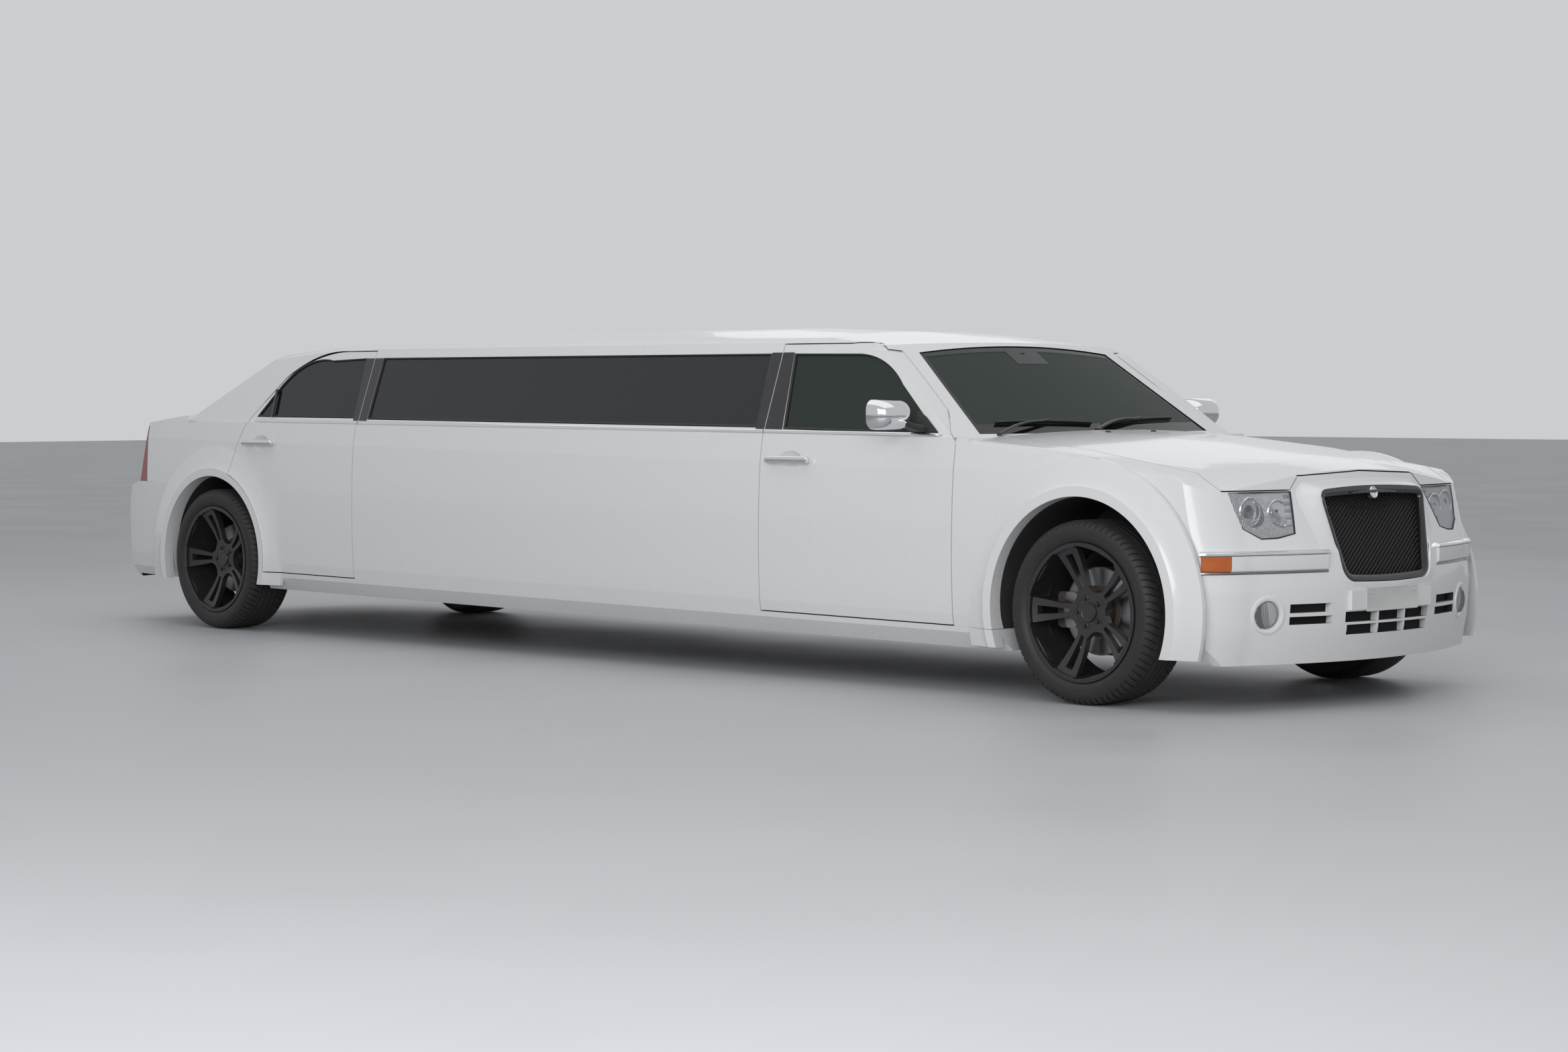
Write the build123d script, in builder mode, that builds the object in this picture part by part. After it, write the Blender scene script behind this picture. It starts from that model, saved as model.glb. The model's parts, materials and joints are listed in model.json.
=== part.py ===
"""A stretch limousine on a four-door saloon's base, with its doors, bonnet, boot lid, steering and wheels as moving
pieces. Millimetres, +X forward, +Y to the car's left, +Z up, origin on the ground under the middle of its length."""

from build123d import *
import math
import os

# Overall sizes. Stations are counted forward from the front axle, so most of them are negative.
WHEELBASE = 5791
FRONT_OVERHANG = 806
REAR_OVERHANG = 1056
LENGTH = FRONT_OVERHANG + WHEELBASE + REAR_OVERHANG
FRONT_AXLE_X = LENGTH / 2 - FRONT_OVERHANG
REAR = -WHEELBASE
HALF_WIDTH = 918
FAR = 1100  # further out than any panel

# Long body lines: height at the front axle, and how much each climbs towards the back per millimetre
RISE = 0.0073
SHOULDER_RISE = 0.0131
SILL_BOTTOM = 181
SILL_TOP = 267
LOWER_CREASE = 315
WAIST = 600
SHOULDER = 888
BELT = 1018
DOOR_TOP = 1410
ROOF = 1494
FLOOR_TOP = 262

# Panels and what parts them
GAP = 5
SEAT = 0.3
SKIN = 30
WALL = 105
FRAME = 42
GLASS = 5
GLASS_INSET = 9
SILL_INNER_Y = 700

# The greenhouse's side is one sloping plane
SIDE_Z = 1021
SIDE_Y = 889
LEAN = 0.345

# Shut lines
FRONT_DOOR_FRONT = -667
FRONT_DOOR_REAR = -1776
REAR_DOOR_FRONT = -4624
COWL = -600
HEADER = -1290
REAR_HEADER = -5420
DECK_FRONT = -6090
DECK_HALF = 700
LAMP_INNER_Y = 640
BUMPER_TOP = 734
BUMPER_REAR_END = -6150
REAR_BUMPER_TOP = 742

# Wheels
TYRE_RADIUS = 357
TYRE_WIDTH = 255
RIM_RADIUS = 262
WHEEL_OUTER_Y = 928
WHEEL_Y = WHEEL_OUTER_Y - TYRE_WIDTH / 2
HUB_Z = TYRE_RADIUS
FRONT_ARCH = 440
REAR_ARCH = 418
ARCH_LIFT = 8
FLARE_HALF = 941
FLARE_LIP = 40
FLARE_SPREAD = 150
KINGPIN_Y = 742
WELL_INNER_FRONT = 470
WELL_INNER_REAR = 640
LINER = 8
SPINDLE = 26
HUB_CLEARANCE = 0.4

SIDES = (("right", -1), ("left", 1))
LENGTHWISE = Plane(origin=(0, 0, 0), x_dir=(1, 0, 0), z_dir=(0, -1, 0))


def x_at(station):
    """The X of a station, which is counted forward from the front axle."""
    return FRONT_AXLE_X + station


def climb(height, station, slope=RISE):
    """The height of a long body line at a station."""
    return height - slope * station


def across(station):
    """The plane across the car at a station, drawn as Y and Z."""
    return Plane(origin=(x_at(station), 0, 0), x_dir=(0, 1, 0), z_dir=(1, 0, 0))


def side_plane(low, high, side):
    """The upright plane along the car from which a prism between two distances on one side starts."""
    return LENGTHWISE.offset(low if side < 0 else -high)


def trace(points):
    """Draw a closed outline in side view: two numbers are a corner, four are an arc's middle and its end."""
    here = points[0]
    for point in points[1:]:
        there = point[-2:]
        if len(point) == 4:
            ThreePointArc((x_at(here[0]), here[1]), (x_at(point[0]), point[1]), (x_at(there[0]), there[1]))
        else:
            Line((x_at(here[0]), here[1]), (x_at(there[0]), there[1]))
        here = there
    Line((x_at(here[0]), here[1]), (x_at(points[0][0]), points[0][1]))


def side_prism(points, low, high, side, grow=0):
    """A prism through one side of the car, from an outline in side view that may be grown or shrunk."""
    with BuildPart() as prism:
        with BuildSketch(side_plane(low, high, side)):
            with BuildLine():
                trace(points)
            make_face()
            if grow:
                offset(amount=grow, kind=Kind.INTERSECTION)
        extrude(amount=high - low)
    return prism.part


def front_prism(points, back, front, side=1):
    """A prism along the car, from an outline in front view given as distances out and heights."""
    with BuildPart() as prism:
        with BuildSketch(across(back)):
            with BuildLine():
                Polyline(*[(side * out, height) for out, height in points], close=True)
            make_face()
        extrude(amount=front - back)
    return prism.part


def plan_prism(points, bottom, top, side=1):
    """An upright prism, from an outline in plan given as stations and distances out."""
    with BuildPart() as prism:
        with BuildSketch(Plane.XY.offset(bottom)):
            with BuildLine():
                Polyline(*[(x_at(station), side * out) for station, out in points], close=True)
            make_face()
        extrude(amount=top - bottom)
    return prism.part


def bar(station, height, radius, low, high, side):
    """A round bar across the car, between two distances on one side."""
    with BuildPart() as rod:
        with BuildSketch(side_plane(low, high, side)):
            with Locations((x_at(station), height)):
                Circle(radius)
        extrude(amount=high - low)
    return rod.part


def block(stations, outs, heights, side=1):
    """A plain block between two stations, two distances out and two heights."""
    with BuildPart() as box:
        with BuildSketch(Plane.XY.offset(heights[0])):
            with Locations(((x_at(stations[0]) + x_at(stations[1])) / 2, side * (outs[0] + outs[1]) / 2)):
                Rectangle(abs(stations[1] - stations[0]), abs(outs[1] - outs[0]))
        extrude(amount=heights[1] - heights[0])
    return box.part


# Lower body: station and half width. Its section is the same all along, apart from the climb of each line.
SIDE_TABLE = [
    (860, 800),
    (500, 880),
    (150, 910),
    (-650, HALF_WIDTH),
    (-5200, HALF_WIDTH),
    (-5800, 912),
    (-6300, 888),
    (-6560, 862),
    (-6880, 800),
]
MIDDLE_ROWS = [(-600, HALF_WIDTH), (-5000, HALF_WIDTH)]


def side_volume(inset, stations, deep=0):
    """The lower body's sides from the sill's foot past the belt, set in by an amount; deep opens the bottom."""
    with BuildPart() as volume:
        for station, half in stations:
            edge = half - inset
            foot = climb(SILL_BOTTOM, station) - deep
            shoulder = climb(SHOULDER, station, SHOULDER_RISE)
            belt = climb(BELT, station)
            with BuildSketch(across(station)):
                with BuildLine():
                    Line((0, foot), (edge - 68, foot))
                    Line((edge - 68, foot), (edge - 18, climb(SILL_TOP, station) - 22))
                    Line((edge - 18, climb(SILL_TOP, station) - 22), (edge - 7, climb(LOWER_CREASE, station)))
                    ThreePointArc((edge - 7, climb(LOWER_CREASE, station)), (edge, WAIST), (edge - 11, shoulder))
                    Line((edge - 11, shoulder), (edge - 28, belt))
                    Line((edge - 28, belt), (edge - 60, belt + 120))
                    Line((edge - 60, belt + 120), (0, belt + 120))
                    mirror(about=Plane.YZ)
                make_face()
        loft(ruled=True)
    return volume.part


# Nose in plan: height, station of its tip, and how far it falls back at the corner.
NOSE_TABLE = [
    (100, 755, 145),
    (300, 795, 145),
    (450, FRONT_OVERHANG, 145),
    (600, 788, 145),
    (660, 757, 135),
    (828, 664, 84),
    (910, 640, 84),
    (1140, 550, 84),
]
NOSE_CORNER_Y = 700
# Tail in plan, the same way
TAIL_TABLE = [
    (100, 985, 90),
    (300, 1045, 90),
    (600, REAR_OVERHANG, 90),
    (720, 1030, 90),
    (745, 930, 80),
    (1040, 850, 80),
    (1140, 800, 80),
]


def plan_end(sign, tip, fall):
    """One end of the car in plan: an arc across its width and a tighter one round each corner."""
    side_x = tip - sign * (fall + 260)
    for side in (-1, 1):
        ThreePointArc(
            (tip - sign * fall, side * NOSE_CORNER_Y),
            (tip - sign * (fall + 85), side * (NOSE_CORNER_Y + 155)),
            (side_x, side * 945),
        )
    ThreePointArc((tip - sign * fall, -NOSE_CORNER_Y), (tip, 0), (tip - sign * fall, NOSE_CORNER_Y))
    return side_x


def end_volume(table, sign, axle, inset):
    """The body behind its nose or before its tail, as outlines in plan stacked one above the other."""
    beyond = -sign * LENGTH
    with BuildPart() as volume:
        for height, reach, fall in table:
            with BuildSketch(Plane.XY.offset(height)):
                with BuildLine():
                    side_x = plan_end(sign, x_at(axle) + sign * (reach - inset), fall)
                    Polyline((side_x, 945), (beyond, 945), (beyond, -945), (side_x, -945))
                make_face()
        loft(ruled=True)
    return volume.part


# Crowned tops: station, height at the edge, height in the middle.
CROWN_EDGE = 860
BONNET_TABLE = [(COWL, 1014, 1048), (-100, 966, 1010), (440, 884, 946), (567, 797, 922), (860, 690, 850)]
DECK_TABLE = [(DECK_FRONT, 1092, 1124), (-6517, 1047, 1082), (-6880, 985, 1020)]


def crowned(table, inset):
    """Everything below a crowned top that runs through the stations of a table."""
    with BuildPart() as volume:
        for station, edge, middle in table:
            low, high = edge - inset, middle - inset
            with BuildSketch(across(station)):
                with BuildLine():
                    ThreePointArc((-CROWN_EDGE, low), (0, high), (CROWN_EDGE, low))
                    Polyline((CROWN_EDGE, low), (FAR, low - 80), (FAR, 0), (-FAR, 0), (-FAR, low - 80), (-CROWN_EDGE, low))
                make_face()
        loft(ruled=True)
    return volume.part


# Each end of the lower body: rows of its sides, the level stretch of its top, its crowned top, its nose or tail
FRONT_END = (SIDE_TABLE[:4] + [(-900, HALF_WIDTH)], (COWL, -900), BONNET_TABLE, (NOSE_TABLE, 1, 0))
REAR_END = ([(-4500, HALF_WIDTH)] + SIDE_TABLE[4:], (-4500, DECK_FRONT), DECK_TABLE, (TAIL_TABLE, -1, REAR))


def end_body(end, inset, deep=0):
    """One end of the lower body up to its bonnet or boot, set in by an amount."""
    rows, level, crown, tip = end
    with BuildPart() as top:
        with BuildSketch(LENGTHWISE):
            with BuildLine():
                ends = [(station, climb(BELT, station) - inset) for station in level]
                trace([(level[0], 0), *ends, (level[1], 0)])
            make_face()
        extrude(amount=1000, both=True)
        add(crowned(crown, inset))
    with BuildPart() as volume:
        add(side_volume(inset, rows, deep))
        add(end_volume(*tip, inset), mode=Mode.INTERSECT)
        add(top.part, mode=Mode.INTERSECT)
    return volume.part


def flare(station, radius, side):
    """The flare round a wheel arch: a flat lip and a shallow cone that dies into the body's side."""
    inner = HALF_WIDTH - SKIN + 2
    with BuildPart() as ring:
        with BuildSketch(Plane.XY):
            with BuildLine():
                Polyline(
                    (radius - 30, inner),
                    (radius - 30, FLARE_HALF),
                    (radius + FLARE_LIP, FLARE_HALF),
                    (radius + FLARE_LIP + 12, FLARE_HALF - 8),
                    (radius + FLARE_SPREAD, HALF_WIDTH - 10),
                    (radius + FLARE_SPREAD, inner),
                    close=True,
                )
            make_face()
        revolve(axis=Axis.Y)
    placed = ring.part.moved(Location((x_at(station), 0, HUB_Z + ARCH_LIFT)))
    foot = block((station - 700, station + 700), (0, FAR), (-900, climb(SILL_BOTTOM, station) + 20))
    placed = placed - foot
    return placed.mirror(Plane.XZ) if side < 0 else placed


# The cabin in plan at two heights: the screens' tips and corners and the sides' ends, as stations
CABIN_PLAN = [
    (1000, (-562, -629, -660), (-6315, -6270, -6130), 735),
    (1540, (-1334, -1381, -1440), (-5216, -5171, -5013), 555),
]
SCREEN_SLOPE = 1.7
BACKLIGHT_SLOPE = 2.2
CABIN_FOOT = 980
# Station, height of the roof's edge and of its middle
ROOF_TABLE = [
    (-400, 1260, 1300),
    (-1160, 1396, 1416),
    (-1560, 1434, 1468),
    (-2250, 1440, ROOF),
    (-4600, 1440, ROOF),
    (-5100, 1426, 1476),
    (-5450, 1396, 1438),
    (-6400, 1230, 1270),
]
RAIL_WIDTH = 45
RAIL_DROP = 22


def side_y(height):
    """How far out the greenhouse's side is at a height."""
    return SIDE_Y - LEAN * (height - SIDE_Z)


def greenhouse(inset):
    """The cabin above the belt, set in by an amount: its screens' slopes, its leaning sides and its crowned roof."""
    with BuildPart() as plan:
        for height, front, back, corner_y in CABIN_PLAN:
            tip, corner, side = [x_at(station) - inset * SCREEN_SLOPE for station in front]
            tail, tail_corner, tail_side = [x_at(station) + inset * BACKLIGHT_SLOPE for station in back]
            with BuildSketch(Plane.XY.offset(height)):
                with BuildLine():
                    ThreePointArc((corner, -corner_y), (tip, 0), (corner, corner_y))
                    Polyline((corner, corner_y), (side, FAR), (tail_side, FAR), (tail_corner, corner_y))
                    ThreePointArc((tail_corner, corner_y), (tail, 0), (tail_corner, -corner_y))
                    Polyline((tail_corner, -corner_y), (tail_side, -FAR), (side, -FAR), (corner, -corner_y))
                make_face()
        loft(ruled=True)
    with BuildPart() as cabin:
        for station, edge, middle in ROOF_TABLE:
            top = (side_y(edge) - inset - RAIL_WIDTH, edge - inset)
            rail = (side_y(edge - RAIL_DROP) - inset, edge - RAIL_DROP - inset * LEAN)
            foot = (side_y(CABIN_FOOT) - inset, CABIN_FOOT)
            with BuildSketch(across(station)):
                with BuildLine():
                    ThreePointArc((-top[0], top[1]), (0, middle - inset), top)
                    Polyline(top, rail, foot, (0, CABIN_FOOT))
                    Polyline((-top[0], top[1]), (-rail[0], rail[1]), (-foot[0], foot[1]), (0, CABIN_FOOT))
                make_face()
        loft(ruled=True)
        add(plan.part, mode=Mode.INTERSECT)
    return cabin.part


def store(part, name):
    """Label a finished piece and write it out."""
    part.label = name
    export_step(part, f"parts/{name}.step")


os.makedirs("parts", exist_ok=True)


# Outlines in side view of what opens, on the middle of the gap round it
BELT_FRONT, BELT_BACK = 400, -6400
DOOR_ARCH = REAR_ARCH + FLARE_LIP - 3
FRONT_DOOR = [
    (FRONT_DOOR_FRONT, climb(SILL_TOP, FRONT_DOOR_FRONT) + GAP / 2),
    (FRONT_DOOR_REAR, climb(SILL_TOP, FRONT_DOOR_REAR) + GAP / 2),
    (FRONT_DOOR_REAR, DOOR_TOP),
    (-1400, DOOR_TOP),
    (-1180, 1382, -1028, 1286),
    (-787, 1104),
    (-690, 1030),
    (FRONT_DOOR_FRONT, 1000),
]
REAR_DOOR = [
    (REAR_DOOR_FRONT, climb(SILL_TOP, REAR_DOOR_FRONT) + GAP / 2),
    (-5640, climb(SILL_TOP, -5640) + GAP / 2),
    (-5640, 800),
    (-5612, 925),
    (-5530, 1079),
    (-5318, 1279),
    (-5110, 1378, -4860, DOOR_TOP),
    (REAR_DOOR_FRONT, DOOR_TOP),
]
FRONT_GLASS = [
    (-775, 1037),
    (-1666, 1050),
    (-1705, 1370),
    (-1330, 1366),
    (-1160, 1330, -1029, 1237),
]
REAR_GLASS = [
    (-4669, 1081),
    (-5480, 1085),
    (-5345, 1240),
    (-5200, 1340, -4961, 1367),
    (-4693, 1376),
]
MID_GLASS = [(-1833, 1056), (-4560, 1076), (-4560, 1376), (-1843, 1371)]

CABIN_INNER = HALF_WIDTH - WALL
arches = [bar(axle, HUB_Z + ARCH_LIFT, radius, inner, FAR, side)
          for axle, radius, inner in ((0, FRONT_ARCH, WELL_INNER_FRONT), (REAR, REAR_ARCH, WELL_INNER_REAR))
          for side in (-1, 1)]
flares = [flare(axle, radius, side) for axle, radius in ((0, FRONT_ARCH), (REAR, REAR_ARCH)) for side in (-1, 1)]
nose_shell = end_body(FRONT_END, 0) + flares[0] + flares[1] - arches[0] - arches[1] - end_body(FRONT_END, SKIN, deep=300)
tail_shell = end_body(REAR_END, 0) + flares[2] + flares[3] - arches[2] - arches[3] - end_body(REAR_END, SKIN, deep=300)
REAR_DOOR_ROWS = [(-4500, HALF_WIDTH), *SIDE_TABLE[4:6]]
door_shells = {
    "front": side_volume(0, MIDDLE_ROWS) - side_volume(WALL, MIDDLE_ROWS, deep=300),
    "rear": side_volume(0, REAR_DOOR_ROWS) + flares[2] + flares[3] - side_volume(WALL, REAR_DOOR_ROWS, deep=300),
}
cabin_shell = greenhouse(0) - greenhouse(FRAME)

# How deep a door's upper frame is, measured inwards from the greenhouse's side
DOOR_DEPTH = 85
# A door's inner part stops short of its rear edge, so that its corner swings clear of the pillar behind it
REBATE = 12


def door_core(gap, side):
    """What lies inside the doors of one side, which they and their holes leave alone."""
    belt, top = 1022, 1500
    section = [(0, 0), (CABIN_INNER - gap, 0), (CABIN_INNER - gap, belt), (side_y(belt) - DOOR_DEPTH - gap, belt),
               (side_y(top) - DOOR_DEPTH - gap, top), (0, top)]
    return front_prism(section, -5900, -500, side)


def door_space(outline, grow, side):
    """The prism of a door, grown or shrunk, with its rear edge round the wheel where it has one."""
    space = side_prism(outline, 600, FAR, side, grow)
    if outline is REAR_DOOR:
        space = space - bar(REAR, HUB_Z + ARCH_LIFT, DOOR_ARCH - grow, 600, FAR, side)
    return space - door_core(GAP if grow > 0 else 0, side)


def belt_half(above):
    """Everything above the belt, or everything below it."""
    edge = 1700 if above else -300
    outline = [(BELT_FRONT, climb(BELT, BELT_FRONT)), (BELT_BACK, climb(BELT, BELT_BACK)), (BELT_BACK, edge), (BELT_FRONT, edge)]
    with BuildPart() as half:
        with BuildSketch(LENGTHWISE):
            with BuildLine():
                trace(outline)
            make_face()
        extrude(amount=FAR, both=True)
    return half.part


above_belt = belt_half(True)
below_belt = belt_half(False)
cabin_above = cabin_shell & above_belt


def leaning_glass(outline, side):
    """A flat pane that lies in the greenhouse's sloping side, inside an outline in side view."""
    low, high = 1000, 1420
    with BuildPart() as pane:
        with BuildSketch(across(-6400)):
            with BuildLine():
                Polyline(
                    (side * (side_y(low) - GLASS_INSET), low),
                    (side * (side_y(high) - GLASS_INSET), high),
                    (side * (side_y(high) - GLASS_INSET - GLASS), high),
                    (side * (side_y(low) - GLASS_INSET - GLASS), low),
                    close=True,
                )
            make_face()
        extrude(amount=6000)
        add(side_prism(outline, 400, FAR, side), mode=Mode.INTERSECT)
    return pane.part


# Bonnet and boot lid: outlines in plan and in front view, on the middle of the gap
BONNET_PLAN = [(COWL, -706), (484, -757), (1000, -757), (1000, 757), (484, 757), (COWL, 706)]
BONNET_FRONT = [
    (-757, 831), (-431, 831), (-372, 884), (0, 898), (372, 884), (431, 831), (757, 831), (757, 1200), (-757, 1200),
]
DECK_PLAN = [(DECK_FRONT, -DECK_HALF), (-7000, -DECK_HALF), (-7000, DECK_HALF), (DECK_FRONT, DECK_HALF)]
DECK_BACK = [
    (-LAMP_INNER_Y, REAR_BUMPER_TOP + GAP / 2),
    (LAMP_INNER_Y, REAR_BUMPER_TOP + GAP / 2),
    (LAMP_INNER_Y, 1040),
    (DECK_HALF, 1040),
    (DECK_HALF, 1300),
    (-DECK_HALF, 1300),
    (-DECK_HALF, 1040),
    (-LAMP_INNER_Y, 1040),
]


def lid_space(plan, front, back, grow):
    """The space of a lid, bounded in plan and in front view, grown or shrunk by half the gap."""
    with BuildPart() as space:
        with BuildSketch(Plane.XY.offset(700)):
            with BuildLine():
                Polyline(*[(x_at(station), out) for station, out in plan], close=True)
            make_face()
            offset(amount=grow, kind=Kind.INTERSECTION)
        extrude(amount=600)
        with BuildSketch(across(back)):
            with BuildLine():
                Polyline(*front, close=True)
            make_face()
            offset(amount=grow, kind=Kind.INTERSECTION)
        extrude(amount=8000, mode=Mode.INTERSECT)
    return space.part


bonnet_hole = lid_space(BONNET_PLAN, BONNET_FRONT, -6900, GAP / 2)
deck_hole = lid_space(DECK_PLAN, DECK_BACK, -7200, GAP / 2)
REBATE_SKIN = 14
rebate_core = greenhouse(REBATE_SKIN) + side_volume(SKIN, SIDE_TABLE[3:6])


def rebate(outline, side):
    """What is cut from a door's inner part along its rear edge."""
    shifted = [tuple(value + REBATE * (index % 2 == 0) for index, value in enumerate(point)) for point in outline]
    cut = block((outline[0][0], -5700), (600, FAR), (200, 1500), side) - side_prism(shifted, 500, FAR + 1, side, -GAP / 2)
    if outline is REAR_DOOR:
        cut = cut + bar(REAR, HUB_Z + ARCH_LIFT, DOOR_ARCH + GAP / 2 + REBATE, 600, FAR, side)
    return cut & rebate_core


# The rear door's top corner swings up the slope behind it, so the gap over it is wider by this much
TOP_EASE = 7
top_ease = [(-5318, 1279), (-5110, 1378 - TOP_EASE, -4860, DOOR_TOP), (-4860, 1500), (-5318, 1500)]

door_holes = [door_space(outline, GAP / 2, side) for outline in (FRONT_DOOR, REAR_DOOR) for side in (-1, 1)]

# A hinge leaf stands in the gap behind what opens: distances out and heights, or distances out only
LEAF = GAP - SEAT
DOOR_LEAVES = [(420, 500), (820, 900)]
LEAF_OUT = (830, 870)


def door_leaves(shut_line, side):
    """The two hinge leaves on the pillar in front of a door, which carry it across the gap."""
    face = shut_line + GAP / 2
    low, high = [block((face + 10, face - LEAF), LEAF_OUT, heights, side) for heights in DOOR_LEAVES]
    return low + high


with BuildPart() as bonnet:
    add(nose_shell)
    add(lid_space(BONNET_PLAN, BONNET_FRONT, -6900, -GAP / 2), mode=Mode.INTERSECT)
store(bonnet.part, "bonnet")

# Flat seats for the number plates, each with two screw holes: back and face stations, heights, half width
PLATE_SCREWS = 178
SCREW_HOLE = 3
SCREW_DEPTH = 22
FRONT_PLATE = (735, FRONT_OVERHANG, 372, 446, 262)
REAR_PLATE = (REAR - 870, REAR - 918, 800, 915, 265)


def plate_seat(back, face, low, high, half):
    """A block that ends in a flat face for a number plate, with its screw holes."""
    out = 1 if face > back else -1
    with BuildPart() as seat:
        add(block((back, face), (-half, half), (low, high)))
        with BuildSketch(across(face - out * SCREW_DEPTH)):
            with Locations(*[(end * PLATE_SCREWS / 2, (low + high) / 2) for end in (-1, 1)]):
                Circle(SCREW_HOLE)
        extrude(amount=out * SCREW_DEPTH, mode=Mode.SUBTRACT)
    return seat.part


with BuildPart() as boot_lid:
    add(tail_shell)
    add(lid_space(DECK_PLAN, DECK_BACK, -7200, -GAP / 2), mode=Mode.INTERSECT)
    low, high, half = REAR_PLATE[2:]
    add(block((REAR_PLATE[0], REAR_PLATE[1] - 60), (-half, half), (low, high)), mode=Mode.SUBTRACT)
    add(plate_seat(*REAR_PLATE))
store(boot_lid.part, "boot_lid")

# Doors, with a pull handle on two feet: station of its middle and height
HANDLE = (240, 24, 14, 46)
HANDLES = {"front": (-1598, 924), "rear": (-5400, 957)}
for label, outline, glass in (("front", FRONT_DOOR, FRONT_GLASS), ("rear", REAR_DOOR, REAR_GLASS)):
    for name, side in SIDES:
        space = door_space(outline, -GAP / 2, side)
        station, height = HANDLES[label]
        length, tall, thick, reach = HANDLE
        half = length / 2
        skin_y = HALF_WIDTH - 30
        with BuildPart() as door:
            add(door_shells[label])
            add(below_belt, mode=Mode.INTERSECT)
            add(space, mode=Mode.INTERSECT)
            add(cabin_above & space)
            add(rebate(outline, side), mode=Mode.SUBTRACT)
            if label == "rear":
                add(side_prism(top_ease, 600, FAR, side, GAP / 2), mode=Mode.SUBTRACT)
            add(side_prism(glass, 400, FAR, side), mode=Mode.SUBTRACT)
            out = (skin_y + reach - thick, skin_y + reach)
            add(block((station - half, station + half), out, (height - tall / 2, height + tall / 2), side))
            for end in (-1, 1):
                foot = station + end * (half - 18)
                add(block((foot - 14, foot + 14), (skin_y, out[1] - 4), (height - 9, height + 9), side))
        store(door.part, f"{label}_door_{name}")
        store(leaning_glass(glass, side), f"{label}_glass_{name}")

sail_layer = greenhouse(-6) - greenhouse(0)
# Door mirrors: a rounded shell on a foot at the corner of the window
for name, side in SIDES:
    with BuildPart() as mirror_shell:
        with BuildSketch(across(-962)):
            with Locations((side * 1008, 1116)):
                RectangleRounded(196, 122, 40)
        with BuildSketch(across(-862)):
            with Locations((side * 1000, 1112)):
                RectangleRounded(140, 80, 36)
        loft()
        add(block((-905, -850), (872, 945), (1052, 1082), side))
        add(side_prism([(-775, 1045), (-905, 1045), (-905, 1130), (-850, 1100)], 700, 930, side) & sail_layer)
    store(mirror_shell.part, f"mirror_{name}")

# Fixed panels meet face to face.
with BuildPart() as roof:
    add(cabin_shell)
    add(block((HEADER, REAR_HEADER), (-FAR, FAR), (DOOR_TOP, 1700)), mode=Mode.INTERSECT)
    for hole in door_holes:
        add(hole, mode=Mode.SUBTRACT)
store(roof.part, "roof")


def screen_prism(foot_z, foot_y, top_z, top_y, middle_z, back, front):
    """The prism along the car that cuts a screen's opening, with an arched top."""
    with BuildPart() as prism:
        with BuildSketch(across(back)):
            with BuildLine():
                Polyline((-top_y, top_z), (-foot_y, foot_z), (foot_y, foot_z), (top_y, top_z))
                ThreePointArc((top_y, top_z), (0, middle_z), (-top_y, top_z))
            make_face()
        extrude(amount=front - back)
    return prism.part


WINDSCREEN = screen_prism(1036, 735, 1370, 600, 1401, HEADER, -300)
REAR_WINDOW = screen_prism(1130, 640, 1388, 552, 1412, -6500, REAR_HEADER)
pane_layer = greenhouse(4) - greenhouse(10)

with BuildPart() as windscreen:
    add(pane_layer)
    add(WINDSCREEN, mode=Mode.INTERSECT)
store(windscreen.part, "windscreen")

with BuildPart() as rear_window:
    add(pane_layer)
    add(REAR_WINDOW, mode=Mode.INTERSECT)
store(rear_window.part, "rear_window")

FENDER_BACK = FRONT_DOOR_FRONT + GAP / 2
COWL_BACK = -720
COWL_HALF = 706 + GAP / 2
POST_FRONT = -575
POST_TOP = 975
FIREWALL_TOP = 930
POST_ROWS = SIDE_TABLE[2:4] + [(-900, HALF_WIDTH)]
posts = side_volume(SKIN, POST_ROWS) - side_volume(WALL, POST_ROWS, deep=300)
with BuildPart() as windscreen_frame:
    add(cabin_above & block((HEADER, COWL - GAP / 2), (-FAR, FAR), (900, 1700)))
    add(WINDSCREEN, mode=Mode.SUBTRACT)
    add(nose_shell & block((COWL_BACK, FENDER_BACK), (-CABIN_INNER, CABIN_INNER), (950, 1200)))
    add(nose_shell & block((FENDER_BACK, COWL - GAP / 2), (-COWL_HALF, COWL_HALF), (950, 1200)))
    for side in (-1, 1):
        post = block((FENDER_BACK, POST_FRONT), (400, FAR), (climb(SILL_TOP, FENDER_BACK), POST_TOP - 5), side)
        add(posts & post)
        add(block((FENDER_BACK, POST_FRONT), (COWL_HALF - 30, HALF_WIDTH - SKIN - 40), (FIREWALL_TOP, POST_TOP), side))
        add(block((FENDER_BACK, COWL - GAP / 2), (COWL_HALF - 30, COWL_HALF), (970, 1000), side))
        add(block((COWL - 10, COWL - GAP / 2 + LEAF), (500, 560), (1006, 1018), side))
    for hole in door_holes[:2]:
        add(hole, mode=Mode.SUBTRACT)
    for side in (-1, 1):
        add(door_leaves(FRONT_DOOR_FRONT, side))
store(windscreen_frame.part, "windscreen_frame")

MID_FRONT, MID_BACK = FRONT_DOOR_REAR - GAP / 2, REAR_DOOR_FRONT + GAP / 2
MID_PANEL = [
    (MID_FRONT, climb(SILL_TOP, MID_FRONT)),
    (MID_BACK, climb(SILL_TOP, MID_BACK)),
    (MID_BACK, DOOR_TOP),
    (MID_FRONT, DOOR_TOP),
]
with BuildPart() as side_panels:
    for side in (-1, 1):
        space = side_prism(MID_PANEL, 400, FAR, side)
        add(door_shells["front"] & below_belt & space)
        add(cabin_above & space)
        add(side_prism(MID_GLASS, 400, FAR, side), mode=Mode.SUBTRACT)
        add(door_leaves(REAR_DOOR_FRONT, side))
store(side_panels.part, "side_panels")

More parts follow.
